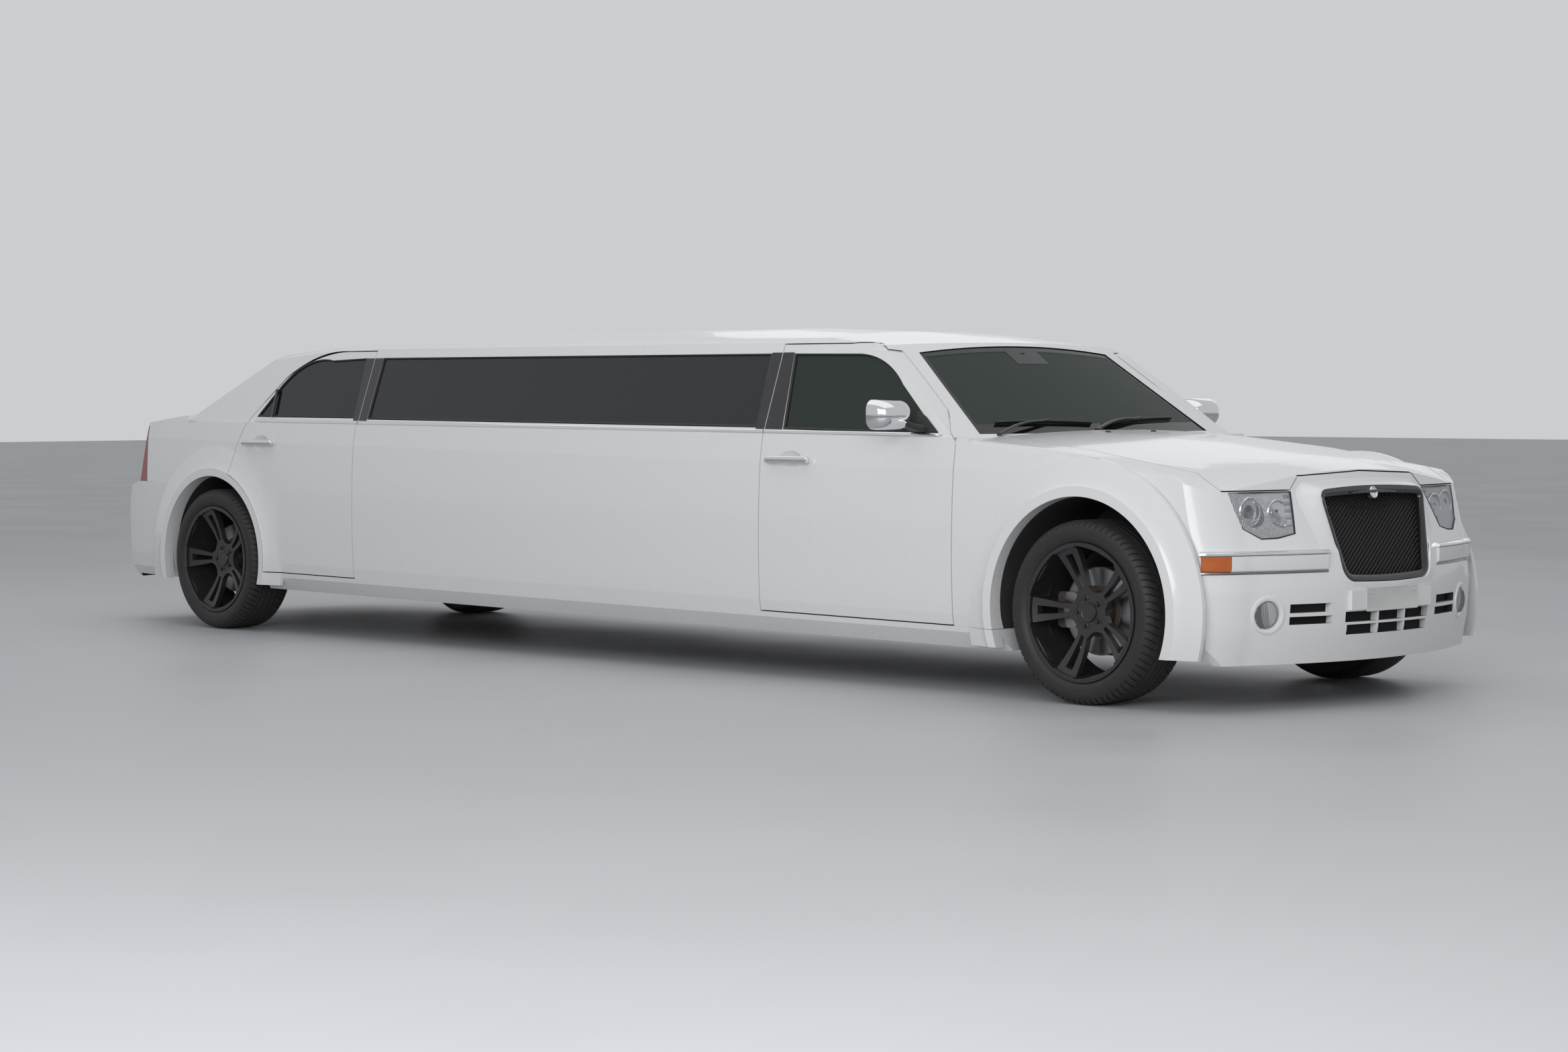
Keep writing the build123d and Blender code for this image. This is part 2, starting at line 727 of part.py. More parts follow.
with BuildPart() as mid_windows:
    for side in (-1, 1):
        add(leaning_glass(MID_GLASS, side))
store(mid_windows.part, "mid_windows")

SILL_ENDS = (-380, -5420)
with BuildPart() as sills:
    for side in (-1, 1):
        ends = [(station, climb(SILL_TOP, station)) for station in SILL_ENDS]
        space = side_prism([(SILL_ENDS[0], 0), ends[0], ends[1], (SILL_ENDS[1], 0)], SILL_INNER_Y, FAR, side)
        add(side_volume(0, SIDE_TABLE[2:6]) & space)
        for round_wheel in flares[(side + 1) // 2::2]:
            add(round_wheel & space)
    for arch in arches:
        add(arch, mode=Mode.SUBTRACT)
store(sills.part, "sills")

# Lamps, as prisms along the car that cut the nose and the tail
HEADLAMP = [(431, 826), (477, 668), (560, 652), (633, 650), (700, 690), (722, 760), (735, 826)]
LAMP_PLANE_BACK, LAMP_PLANE_FRONT = 300, 900
headlamps = [front_prism(HEADLAMP, LAMP_PLANE_BACK, LAMP_PLANE_FRONT, side) for side in (-1, 1)]
TAIL_LAMP = [(LAMP_INNER_Y + GAP / 2, REAR_BUMPER_TOP), (FAR, REAR_BUMPER_TOP), (FAR, 1034), (LAMP_INNER_Y + GAP / 2, 1034)]
TAIL_LAMP_FRONT = -6475
tail_lamp_spaces = [front_prism(TAIL_LAMP, -7200, TAIL_LAMP_FRONT, side) for side in (-1, 1)]
FASCIA_HALF = 500

with BuildPart() as front_fenders:
    start = climb(SILL_TOP, FENDER_BACK)
    fender_side = [(FENDER_BACK, start), (100, start), (100, BUMPER_TOP), (760, BUMPER_TOP), (760, 1100), (FENDER_BACK, 1100)]
    for side in (-1, 1):
        add(nose_shell & side_prism(fender_side, 300, FAR, side))
    add(bonnet_hole, mode=Mode.SUBTRACT)
    add(block((FENDER_BACK - 100, COWL), (-COWL_HALF, COWL_HALF), (700, 1200)), mode=Mode.SUBTRACT)
    add(block((200, 900), (-FASCIA_HALF, FASCIA_HALF), (600, 1200)), mode=Mode.SUBTRACT)
    for lamp in headlamps:
        add(lamp, mode=Mode.SUBTRACT)
store(front_fenders.part, "front_fenders")

# Grille: a frame on a leaning plane, with a lattice of crossing bars inside it
GRILLE_FOOT = (782, 470)
GRILLE_HEAD = (694, 842)
GRILLE_LEAN = math.degrees(math.atan2(GRILLE_FOOT[0] - GRILLE_HEAD[0], GRILLE_HEAD[1] - GRILLE_FOOT[1]))
GRILLE_TALL = math.dist(GRILLE_FOOT, GRILLE_HEAD)
GRILLE_RIM = 34
LATTICE_PITCH = 52
LATTICE_BAR = 5
GRILLE_PLANE = Plane(
    origin=(x_at(GRILLE_FOOT[0]), 0, GRILLE_FOOT[1]),
    x_dir=(0, 1, 0),
    z_dir=(math.cos(math.radians(GRILLE_LEAN)), 0, math.sin(math.radians(GRILLE_LEAN))),
)


def grille_outline(inset):
    """The grille's outline on its leaning plane: wider at the top, with its head and foot bowed."""
    foot, head = 278 - inset * 1.1, 345 - inset * 1.1
    low, high = 12 + inset, GRILLE_TALL - 14 - inset
    ThreePointArc((-foot, low), (0, inset), (foot, low))
    Line((foot, low), (head, high))
    ThreePointArc((head, high), (0, GRILLE_TALL - inset), (-head, high))
    Line((-head, high), (-foot, low))


with BuildPart() as grille_opening:
    with BuildSketch(GRILLE_PLANE.offset(-90)):
        with BuildLine():
            grille_outline(0)
        make_face()
    extrude(amount=200)

with BuildPart() as grille:
    with BuildSketch(GRILLE_PLANE.offset(-40)):
        with BuildLine():
            grille_outline(0)
        make_face()
        with BuildLine():
            grille_outline(GRILLE_RIM)
        make_face(mode=Mode.SUBTRACT)
    extrude(amount=48)
    with BuildSketch(GRILLE_PLANE.offset(-24)):
        with BuildLine():
            grille_outline(GRILLE_RIM - 2)
        make_face()
        half_cell = LATTICE_PITCH / 2
        columns, rows = range(-13, 14), range(0, 16)
        centres = [(i * half_cell, j * half_cell) for i in columns for j in rows if (i + j) % 2 == 0]
        with Locations(*centres):
            Rectangle(*[LATTICE_PITCH * math.sqrt(0.5) - LATTICE_BAR] * 2, rotation=45, mode=Mode.SUBTRACT)
    extrude(amount=8)
store(grille.part, "grille")

# Openings of the front bumper in front view: low and high edge, distances out
INTAKE_CELLS = [((-262, -92), (278, 316)), ((-82, 82), (278, 316)), ((92, 262), (278, 316)),
                ((-272, -92), (326, 366)), ((-82, 82), (326, 366)), ((92, 272), (326, 366))]
SIDE_SLOTS = [((338, 540), (326, 356)), ((345, 540), (370, 404))]
FOG_LAMP = (632, 366)
FOG_RADIUS = 58

with BuildPart() as front_bumper:
    add(nose_shell & side_prism([(100, 0), (100, BUMPER_TOP), (900, BUMPER_TOP), (900, 0)], -FAR, FAR, -1))
    add(nose_shell & block((200, 900), (-FASCIA_HALF, FASCIA_HALF), (BUMPER_TOP, 1200)))
    add(bonnet_hole, mode=Mode.SUBTRACT)
    add(grille_opening.part, mode=Mode.SUBTRACT)
    for lamp in headlamps:
        add(lamp, mode=Mode.SUBTRACT)
    low, high, half = FRONT_PLATE[2:]
    add(block((FRONT_PLATE[0], FRONT_PLATE[1] + 60), (-half, half), (low, high)), mode=Mode.SUBTRACT)
    add(plate_seat(*FRONT_PLATE))
    for outs, heights in INTAKE_CELLS:
        add(block((600, 900), outs, heights), mode=Mode.SUBTRACT)
    for side in (-1, 1):
        for outs, heights in SIDE_SLOTS:
            add(block((560, 900), outs, heights, side), mode=Mode.SUBTRACT)
        with BuildSketch(across(480)):
            with Locations((side * FOG_LAMP[0], FOG_LAMP[1])):
                Circle(FOG_RADIUS)
        extrude(amount=400, mode=Mode.SUBTRACT)
store(front_bumper.part, "front_bumper")

with BuildPart() as fog_lamps:
    for side in (-1, 1):
        with BuildSketch(across(560)):
            with Locations((side * FOG_LAMP[0], FOG_LAMP[1])):
                Circle(FOG_RADIUS)
        extrude(amount=112)
store(fog_lamps.part, "fog_lamps")


def nose_layer(outer_inset, inner_inset):
    """A layer that follows the nose between two depths, at the height of the lamps."""
    rows = NOSE_TABLE[3:7]
    return end_volume(rows, 1, 0, outer_inset) - end_volume(rows, 1, 0, inner_inset)


lens_layer = nose_layer(2, 8)
housing_layer = nose_layer(8.5, 105)
with BuildPart() as headlamp_lenses:
    for lamp in headlamps:
        add(lens_layer & lamp)
store(headlamp_lenses.part, "headlamp_lenses")

REFLECTORS = [(520, 745, 50), (642, 752, 58)]
with BuildPart() as headlamp_housings:
    for side, lamp in zip((-1, 1), headlamps):
        add(housing_layer & lamp)
        for out, height, radius in REFLECTORS:
            with BuildSketch(across(420)):
                with Locations((side * out, height)):
                    Circle(radius * 0.45)
            with BuildSketch(across(760)):
                with Locations((side * out, height)):
                    Circle(radius * 1.35)
            loft(mode=Mode.SUBTRACT)
    add(block((300, 480), (-FAR, FAR), (500, 900)), mode=Mode.SUBTRACT)
store(headlamp_housings.part, "headlamp_housings")

with BuildPart() as tail_lamps:
    for space in tail_lamp_spaces:
        add(tail_shell & space)
    add(deck_hole, mode=Mode.SUBTRACT)
store(tail_lamps.part, "tail_lamps")

with BuildPart() as quarter_panels:
    add(tail_shell & below_belt & block((-5280, -6900), (-FAR, FAR), (0, 1300)))
    add(tail_shell & block((DECK_FRONT + 1, -6900), (-FAR, FAR), (900, 1300)))
    add(block((-4900, -5660), (-CABIN_INNER, CABIN_INNER), (800, 1200)), mode=Mode.SUBTRACT)
    add(block((BUMPER_REAR_END, -7200), (-FAR, FAR), (-100, REAR_BUMPER_TOP)), mode=Mode.SUBTRACT)
    for side in (-1, 1):
        below = [(-4900, 0), (-4900, climb(SILL_TOP, -4900)), (REAR, climb(SILL_TOP, REAR)), (REAR, 0)]
        add(side_prism(below, 0, FAR, side), mode=Mode.SUBTRACT)
    pillar_side = [(-4860, DOOR_TOP), (REAR_HEADER, DOOR_TOP), (REAR_HEADER, 1700), (-6900, 1700), (-6900, 900), (-4860, 900)]
    pillars = cabin_above & side_prism(pillar_side, -FAR, FAR, -1)
    add(pillars - REAR_WINDOW)
    for hole in door_holes[2:]:
        add(hole, mode=Mode.SUBTRACT)
    for space in tail_lamp_spaces:
        add(space, mode=Mode.SUBTRACT)
    add(deck_hole, mode=Mode.SUBTRACT)
    for side in (-1, 1):
        add(block((DECK_FRONT + 12, DECK_FRONT + GAP / 2 - LEAF), (560, 620), (1082, 1098), side))
store(quarter_panels.part, "quarter_panels")

with BuildPart() as rear_bumper:
    add(tail_shell & block((BUMPER_REAR_END, -7200), (-FAR, FAR), (-100, REAR_BUMPER_TOP)))
store(rear_bumper.part, "rear_bumper")

# Floor: a pan between the sills with a tunnel, a kick-up over the rear axle, the boot's floor and the wheel houses
FLOOR = 20
FLOOR_FRONT = -640
FLOOR_BACK = -5330
KICK_UP = -5390
TUNNEL = (-1500, 150, 400, 12)
BOOT_FLOOR = 470
BULKHEAD = -5690
BOOT_BACK = -6560
HOUSE_HALF = 880
AXLE_HOLE = 95
HOUSE_INNER = WELL_INNER_REAR - LINER


def plate(points, half):
    """A bent plate across the car, from a line in side view that is given a floor's thickness."""
    with BuildPart() as sheet:
        with BuildSketch(LENGTHWISE.offset(-half)):
            with BuildLine():
                trace(points + [(station, height - FLOOR) for station, height in reversed(points)])
            make_face()
        extrude(amount=2 * half)
    return sheet.part


def wheel_house(axle, radius, inner, side):
    """The round box over a wheel, open outwards and below, with a hole for its shaft."""
    hub = HUB_Z + ARCH_LIFT
    house = bar(axle, hub, radius + LINER, inner - LINER, HOUSE_HALF, side) - bar(axle, hub, radius, inner, FAR, side)
    house = house - block((axle - 700, axle + 700), (0, FAR), (-200, climb(SILL_TOP, axle - radius)), side)
    house = house & side_volume(SKIN, SIDE_TABLE[1:8], deep=300)
    return house - bar(axle, HUB_Z, AXLE_HOLE, inner - 2 * LINER, inner + LINER, side)


with BuildPart() as floor_pan:
    back, half, top, wall = TUNNEL
    add(plate([(FLOOR_FRONT, FLOOR_TOP), (FLOOR_BACK, FLOOR_TOP)], SILL_INNER_Y))
    add(plate([(FLOOR_BACK, FLOOR_TOP), (KICK_UP, BOOT_FLOOR), (BOOT_BACK, BOOT_FLOOR)], HOUSE_INNER))
    add(block((FLOOR_FRONT, FLOOR_FRONT - FLOOR), (-SILL_INNER_Y, SILL_INNER_Y), (FLOOR_TOP - FLOOR, FIREWALL_TOP)))
    add(block((BULKHEAD, BULKHEAD - FLOOR), (-HOUSE_INNER, HOUSE_INNER), (BOOT_FLOOR - 1, 980)))
    add(block((FLOOR_FRONT, back), (-half, half), (FLOOR_TOP - FLOOR, top)))
    tunnel_space = block((FLOOR_FRONT + 1, back + wall), (wall - half, half - wall), (0, top - wall))
    add(tunnel_space, mode=Mode.SUBTRACT)
    for side in (-1, 1):
        add(wheel_house(0, FRONT_ARCH, WELL_INNER_FRONT, side))
        add(wheel_house(REAR, REAR_ARCH, WELL_INNER_REAR, side))
store(floor_pan.part, "floor_pan")

# Front frame: aprons beside the engine, cross members and the beam behind the bumper
APRON_OUT = WELL_INNER_FRONT - LINER
APRON = 16
MEMBER_TOP = 290
with BuildPart() as front_frame:
    for side in (-1, 1):
        add(block((FLOOR_FRONT, 520), (APRON_OUT - APRON, APRON_OUT), (MEMBER_TOP - 10, 560), side))
    add(block((520, 560), (-APRON_OUT, APRON_OUT), (MEMBER_TOP, 560)))
    add(block((560, 640), (-560, 560), (430, 520)))
    add(block((-60, 60), (-APRON_OUT, APRON_OUT), (225, MEMBER_TOP)))
store(front_frame.part, "front_frame")

# Engine as a plain block, wider at its heads
ENGINE_BACK = -550
with BuildPart() as engine_block:
    add(block((10, ENGINE_BACK), (-150, 150), (MEMBER_TOP, 470)))
    with BuildSketch(Plane.XY.offset(470)):
        with Locations((x_at((10 + ENGINE_BACK) / 2), 0)):
            Rectangle(560, 560)
    extrude(amount=330, taper=12)
store(engine_block.part, "engine_block")

# Gearbox, propeller shaft and its bearings, which hang from the floor
SHAFT_Z = 205
SHAFT_RADIUS = 32
GEARBOX_BACK = -1300
DIFF_FRONT = -5560
UNDER = FLOOR_TOP - FLOOR
with BuildPart() as driveline:
    with BuildSketch(across(ENGINE_BACK)):
        with Locations((0, 300)):
            RectangleRounded(220, 170, 40)
    with BuildSketch(across(GEARBOX_BACK)):
        with Locations((0, 260)):
            RectangleRounded(150, 130, 40)
    loft()
    with BuildSketch(across(GEARBOX_BACK)):
        with Locations((0, SHAFT_Z)):
            Circle(SHAFT_RADIUS)
    extrude(amount=DIFF_FRONT - GEARBOX_BACK)
    for station in (-2360, -3430, -4500):
        add(block((station - 30, station + 30), (-55, 55), (SHAFT_Z - 42, UNDER)))
store(driveline.part, "driveline")

# Exhaust: a pipe under the floor, over the axle and into a silencer, with two tail pipes
PIPE = 27
PIPE_Y = -215
with BuildPart() as exhaust:
    with BuildLine():
        route = [(-700, SHAFT_Z), (-5340, SHAFT_Z), (-5560, 411), (-6120, 411)]
        FilletPolyline(*[(x_at(station), PIPE_Y, height) for station, height in route], radius=90)
    with BuildSketch(across(-700)):
        with Locations((PIPE_Y, SHAFT_Z)):
            Circle(PIPE)
    sweep()
    for station in (-1700, -3200, -4700):
        add(block((station - 10, station + 10), (PIPE_Y - 12, PIPE_Y + 12), (SHAFT_Z, UNDER)))
    for station, reach in ((-2000, 700), (-3500, 500)):
        with BuildSketch(across(station)):
            with Locations((PIPE_Y - 20, SHAFT_Z)):
                SlotOverall(190, 66)
        extrude(amount=-reach)
    with BuildSketch(across(-6110)):
        with Locations((0, 385)):
            SlotOverall(900, 120)
    extrude(amount=-270)
    for side in (-1, 1):
        add(block((-6230, -6260), (side * 300 - 20, side * 300 + 20), (430, BOOT_FLOOR - FLOOR)))
        with BuildLine():
            tail = [(-6370, 370), (-6450, 370), (-6600, 196), (-6770, 196)]
            FilletPolyline(*[(x_at(station), side * 380, height) for station, height in tail], radius=60)
        with BuildSketch(across(-6370)):
            with Locations((side * 380, 370)):
                Circle(PIPE)
        sweep()
store(exhaust.part, "exhaust")

with BuildPart() as fuel_tank:
    add(block((-4680, -5290), (110, 600), (190, UNDER)))
    fillet(fuel_tank.edges().filter_by(Axis.Z), radius=40)
store(fuel_tank.part, "fuel_tank")

# Wheels, drawn about their own axle and then put in place. Outwards is +Y on the left and -Y on the right.
FLANGE = 8
BEAD = 110
SPOKES = 5
SPOKE_ANGLE = 36
SPOKE_WINDOW = [(82, -12), (96, -40), (236, -108), (247, -60)]
SPOKE_SLOT = [(98, -8), (232, -17)]
BARREL = 10
DISC_RADIUS = 172
DISC = (-28, -6)
HUB_FACE = 60
BORE_END = 45


def turned(points):
    """A ring turned about the axle from its section, given as radius and distance along the axle."""
    with BuildPart() as ring:
        with BuildSketch(Plane.XY):
            with BuildLine():
                Polyline(*points, close=True)
            make_face()
        revolve(axis=Axis.Y)
    return ring.part


with BuildPart() as tyre_form:
    with BuildSketch(Plane.XY):
        half = TYRE_WIDTH / 2
        with BuildLine():
            Line((RIM_RADIUS, -BEAD), (RIM_RADIUS, BEAD))
            for end in (-1, 1):
                Line((RIM_RADIUS, end * BEAD), (RIM_RADIUS + 9, end * BEAD))
                ThreePointArc((RIM_RADIUS + 9, end * BEAD), (312, end * half), (340, end * (half - 8)))
                Line((340, end * (half - 8)), (TYRE_RADIUS - 4, end * (half - 24)))
                Line((TYRE_RADIUS - 4, end * (half - 24)), (TYRE_RADIUS, end * (half - 44)))
            Line((TYRE_RADIUS, half - 44), (TYRE_RADIUS, 44 - half))
        make_face()
    revolve(axis=Axis.Y)
    for groove in (-48, -16, 16, 48):
        with BuildSketch(Plane.XY):
            with Locations((TYRE_RADIUS, groove)):
                Rectangle(14, 7)
        revolve(axis=Axis.Y, mode=Mode.SUBTRACT)

with BuildPart() as rim_form:
    add(turned([
        (RIM_RADIUS - BARREL, -BEAD - FLANGE), (RIM_RADIUS + FLANGE, -BEAD - FLANGE), (RIM_RADIUS + FLANGE, -BEAD),
        (RIM_RADIUS, -BEAD), (RIM_RADIUS, BEAD), (RIM_RADIUS + FLANGE, BEAD), (RIM_RADIUS + FLANGE, BEAD + FLANGE),
        (RIM_RADIUS - BARREL, BEAD + FLANGE),
    ]))
    with BuildSketch(Plane.XY):
        with BuildLine():
            ThreePointArc((62, HUB_FACE), (170, 74), (RIM_RADIUS - BARREL + 1, 104))
            Line((RIM_RADIUS - BARREL + 1, 104), (RIM_RADIUS - BARREL + 1, 74))
            ThreePointArc((RIM_RADIUS - BARREL + 1, 74), (170, 46), (62, 30))
            Line((62, 30), (62, HUB_FACE))
        make_face()
    revolve(axis=Axis.Y)
    with BuildSketch(Plane.XZ.offset(-120)):
        with PolarLocations(0, SPOKES, start_angle=SPOKE_ANGLE + 360 / SPOKES / 2):
            Polygon(*SPOKE_WINDOW, *[(out, -half) for out, half in reversed(SPOKE_WINDOW)], align=None)
        fillet(vertices(), radius=7)
        with PolarLocations(0, SPOKES, start_angle=SPOKE_ANGLE):
            Polygon(*SPOKE_SLOT, *[(out, -half) for out, half in reversed(SPOKE_SLOT)], align=None)
    extrude(amount=110, mode=Mode.SUBTRACT)
    cap = HUB_FACE + 6
    add(turned([(0, cap), (30, cap), (34, HUB_FACE), (80, HUB_FACE - 2), (80, DISC[0]), (0, DISC[0])]))
    add(turned([(78, DISC[0]), (DISC_RADIUS, DISC[0]), (DISC_RADIUS, DISC[1]), (78, DISC[1])]))
    bore = SPINDLE + HUB_CLEARANCE
    add(turned([(0, DISC[0] - 1), (bore, DISC[0] - 1), (bore, BORE_END), (0, BORE_END)]), mode=Mode.SUBTRACT)

AXLES = (("front", 0), ("rear", REAR))


def at_wheel(form, axle, side):
    """A piece drawn about the wheel's own axle, put on one side of an axle."""
    placed = form.moved(Location((x_at(axle), WHEEL_Y, HUB_Z)))
    return placed.mirror(Plane.XZ) if side < 0 else placed


for axle_name, axle in AXLES:
    for name, side in SIDES:
        store(at_wheel(tyre_form.part, axle, side), f"tyre_{axle_name}_{name}")
        store(at_wheel(rim_form.part, axle, side), f"rim_{axle_name}_{name}")

# Knuckle: an upright on the kingpin's line with the wheel's spindle and the brake's caliper
KNUCKLE_HALF = 150
UPRIGHT = (-90, -38)
CALIPER_GAP = 5
with BuildPart() as knuckle_form:
    with BuildSketch(Plane.XY.offset(-KNUCKLE_HALF)):
        with Locations((0, (UPRIGHT[0] + UPRIGHT[1]) / 2)):
            RectangleRounded(70, UPRIGHT[1] - UPRIGHT[0], 10)
    extrude(amount=2 * KNUCKLE_HALF)
    with BuildSketch(Plane.XZ.offset(-UPRIGHT[1])):
        Circle(SPINDLE)
    extrude(amount=UPRIGHT[1] - BORE_END + SEAT)
    with BuildSketch(Plane.XZ.offset(-12)):
        with Locations((-150, 0)):
            RectangleRounded(96, 140, 20)
    extrude(amount=62)
    with BuildSketch(Plane.XZ.offset(-DISC[1] - CALIPER_GAP)):
        Circle(DISC_RADIUS + CALIPER_GAP)
    extrude(amount=DISC[1] - DISC[0] + 2 * CALIPER_GAP, mode=Mode.SUBTRACT)
    with BuildSketch(Plane.XZ.offset(-UPRIGHT[1])):
        with Locations((-80, 0)):
            Rectangle(110, 60)
    extrude(amount=12)
    with BuildSketch(Plane.XZ.offset(-UPRIGHT[1])):
        Circle(SPINDLE)
    extrude(amount=UPRIGHT[1] - BORE_END + SEAT)

for name, side in SIDES:
    store(at_wheel(knuckle_form.part, 0, side), f"knuckle_{name}")

# Front suspension: a wide lower arm and an upper arm to each knuckle, and a spring leg
ARM_TOP = HUB_Z - KNUCKLE_HALF - SEAT
UPPER_ARM = HUB_Z + KNUCKLE_HALF + SEAT
SPRING_Y = 560
SPRING_RADIUS = 45
SPRING_TOP = HUB_Z + ARCH_LIFT + math.sqrt(FRONT_ARCH**2 - SPRING_RADIUS**2) - SEAT
with BuildPart() as front_suspension:
    for side in (-1, 1):
        lower = [(150, 380), (150, 440), (38, 600), (38, KINGPIN_Y), (-38, KINGPIN_Y), (-38, 600), (-150, 440), (-150, 380)]
        add(plan_prism(lower, ARM_TOP - 24, ARM_TOP, side))
        add(block((-60, 60), (380, 440), (ARM_TOP - 24, 225), side))
        upper = [(90, WELL_INNER_FRONT), (32, 600), (32, KINGPIN_Y), (-32, KINGPIN_Y), (-32, 600), (-90, WELL_INNER_FRONT)]
        add(plan_prism(upper, UPPER_ARM, UPPER_ARM + 20, side))
        with BuildSketch(Plane.XY.offset(ARM_TOP - 10)):
            with Locations((x_at(0), side * SPRING_Y)):
                Circle(SPRING_RADIUS)
        extrude(amount=SPRING_TOP - ARM_TOP + 10)
store(front_suspension.part, "front_suspension")

# Rear axle: differential, half shafts, arms, springs and the spindles that the wheels turn on
CARRIER = (-105, -40)
with BuildPart() as rear_suspension:
    with BuildSketch(across(DIFF_FRONT)):
        with Locations((0, 300)):
            RectangleRounded(200, 240, 50)
    extrude(amount=-340)
    add(block((REAR - 90, REAR + 90), (-320, 320), (205, 245)))
    for side in (-1, 1):
        add(bar(REAR, HUB_Z, 22, 90, WHEEL_Y + CARRIER[0] + 5, side))
        add(block((REAR - 55, REAR + 55), (WHEEL_Y + CARRIER[0], WHEEL_Y + CARRIER[1]), (218, 465), side))
        add(bar(REAR, HUB_Z, SPINDLE, WHEEL_Y + CARRIER[1] - 1, WHEEL_Y + BORE_END - SEAT, side))
        for station in (-60, 60):
            add(block((REAR + station - 22, REAR + station + 22), (300, WHEEL_Y + CARRIER[0] + 20), (218, 242), side))
        with BuildSketch(Plane.XY.offset(230)):
            with Locations((x_at(REAR), side * SPRING_Y)):
                Circle(52)
        extrude(amount=BOOT_FLOOR - FLOOR - 230)
        add(block((REAR - 80, REAR + 80), (SPRING_Y - 60, SPRING_Y + 60), (218, 242), side))
store(rear_suspension.part, "rear_suspension")

# Dashboard across the cabin, and the steering wheel on the right
DRIVER_Y = -370
with BuildPart() as dashboard:
    front = FLOOR_FRONT - FLOOR
    outline = [(front, 640), (front, 985), (-725, 985), (-800, 1000), (-960, 975), (-1015, 860), (-990, 720), (-860, 640)]
    add(side_prism(outline, -760, 760, -1))
    add(block((-860, -1060), (-130, 130), (TUNNEL[2], 700)))
    for side in (-1, 1):
        add(block((front + 1, FENDER_BACK - 1), (COWL_HALF - 31, 761), (929, 990), side), mode=Mode.SUBTRACT)
store(dashboard.part, "dashboard")

WHEEL_TILT = 26
WHEEL_RING = 176
COLUMN = 200
STEERING_PLANE = Plane(
    origin=(x_at(-1165), DRIVER_Y, 905),
    x_dir=(0, 1, 0),
    z_dir=(-math.cos(math.radians(WHEEL_TILT)), 0, math.sin(math.radians(WHEEL_TILT))),
)
with BuildPart() as steering_wheel:
    with Locations(STEERING_PLANE):
        Torus(WHEEL_RING, 15)
    with BuildSketch(STEERING_PLANE.offset(-8)):
        for angle in (0, 90, 180):
            with Locations(Rotation(0, 0, angle)):
                Rectangle(WHEEL_RING, 26, align=(Align.MIN, Align.CENTER))
        Circle(62)
    extrude(amount=16)
    with BuildSketch(STEERING_PLANE):
        Circle(32)
    extrude(amount=-COLUMN)
    add(dashboard.part, mode=Mode.SUBTRACT)
store(steering_wheel.part, "steering_wheel")

# Seats: side views of cushion, back and headrest, given their width and rounded
SEAT_SIDE = [(-1235, 404), (-1225, 480), (-1290, 505), (-1620, 470), (-1790, 980), (-1870, 1010), (-1905, 985), (-1760, 404)]
HEADREST = [(-1835, 1060), (-1850, 1200), (-1900, 1215), (-1930, 1190), (-1915, 1060)]
SEAT_OUT = (120, 630)
with BuildPart() as front_seats:
    for side in (-1, 1):
        middle = sum(SEAT_OUT) / 2
        add(side_prism(SEAT_SIDE, *SEAT_OUT, side))
        add(block((-1290, -1720), (SEAT_OUT[0] + 50, SEAT_OUT[1] - 50), (FLOOR_TOP, 410), side))
        add(side_prism(HEADREST, middle - 130, middle + 130, side))
        for post in (-60, 60):
            with BuildSketch(Plane.XY.offset(960)):
                with Locations((x_at(-1872), side * (middle + post))):
                    Circle(8)
            extrude(amount=120)
store(front_seats.part, "front_seats")

PARTITION = -2060
SIDE_FOOT = 312
with BuildPart() as partition:
    with BuildSketch(across(PARTITION)):
        with BuildLine():
            half = [(SILL_INNER_Y, FLOOR_TOP), (SILL_INNER_Y, SIDE_FOOT), (770, SIDE_FOOT), (775, 1000), (700, 1360)]
            Polyline(*half, *[(-out, height) for out, height in reversed(half)], close=True)
        make_face()
    extrude(amount=-25)
    add(block((PARTITION - 25, -4380), (440, SILL_INNER_Y), (FLOOR_TOP, 880), -1))
    add(block((PARTITION - 25, -4380), (SILL_INNER_Y, 785), (SIDE_FOOT, 880), -1))
store(partition.part, "partition")

BENCH = [(330, FLOOR_TOP), (330, 470), (660, 455), (700, 880), (785, 880), (785, SIDE_FOOT), (SILL_INNER_Y, SIDE_FOOT),
         (SILL_INNER_Y, FLOOR_TOP)]
REAR_BENCH = [(-4990, FLOOR_TOP), (-4975, 480), (-5030, 500), (-5440, 478), (-5540, 980), (-5650, 980), (-5670, BOOT_FLOOR),
              (KICK_UP, BOOT_FLOOR), (FLOOR_BACK, FLOOR_TOP)]
with BuildPart() as lounge_seats:
    add(front_prism(BENCH, -4400, -2110, 1))
    add(side_prism(REAR_BENCH, -HOUSE_INNER, HOUSE_INNER, -1))
store(lounge_seats.part, "lounge_seats")
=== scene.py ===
import bpy
import bmesh
import json
import math
from mathutils import Matrix, Vector
from mathutils.bvhtree import BVHTree


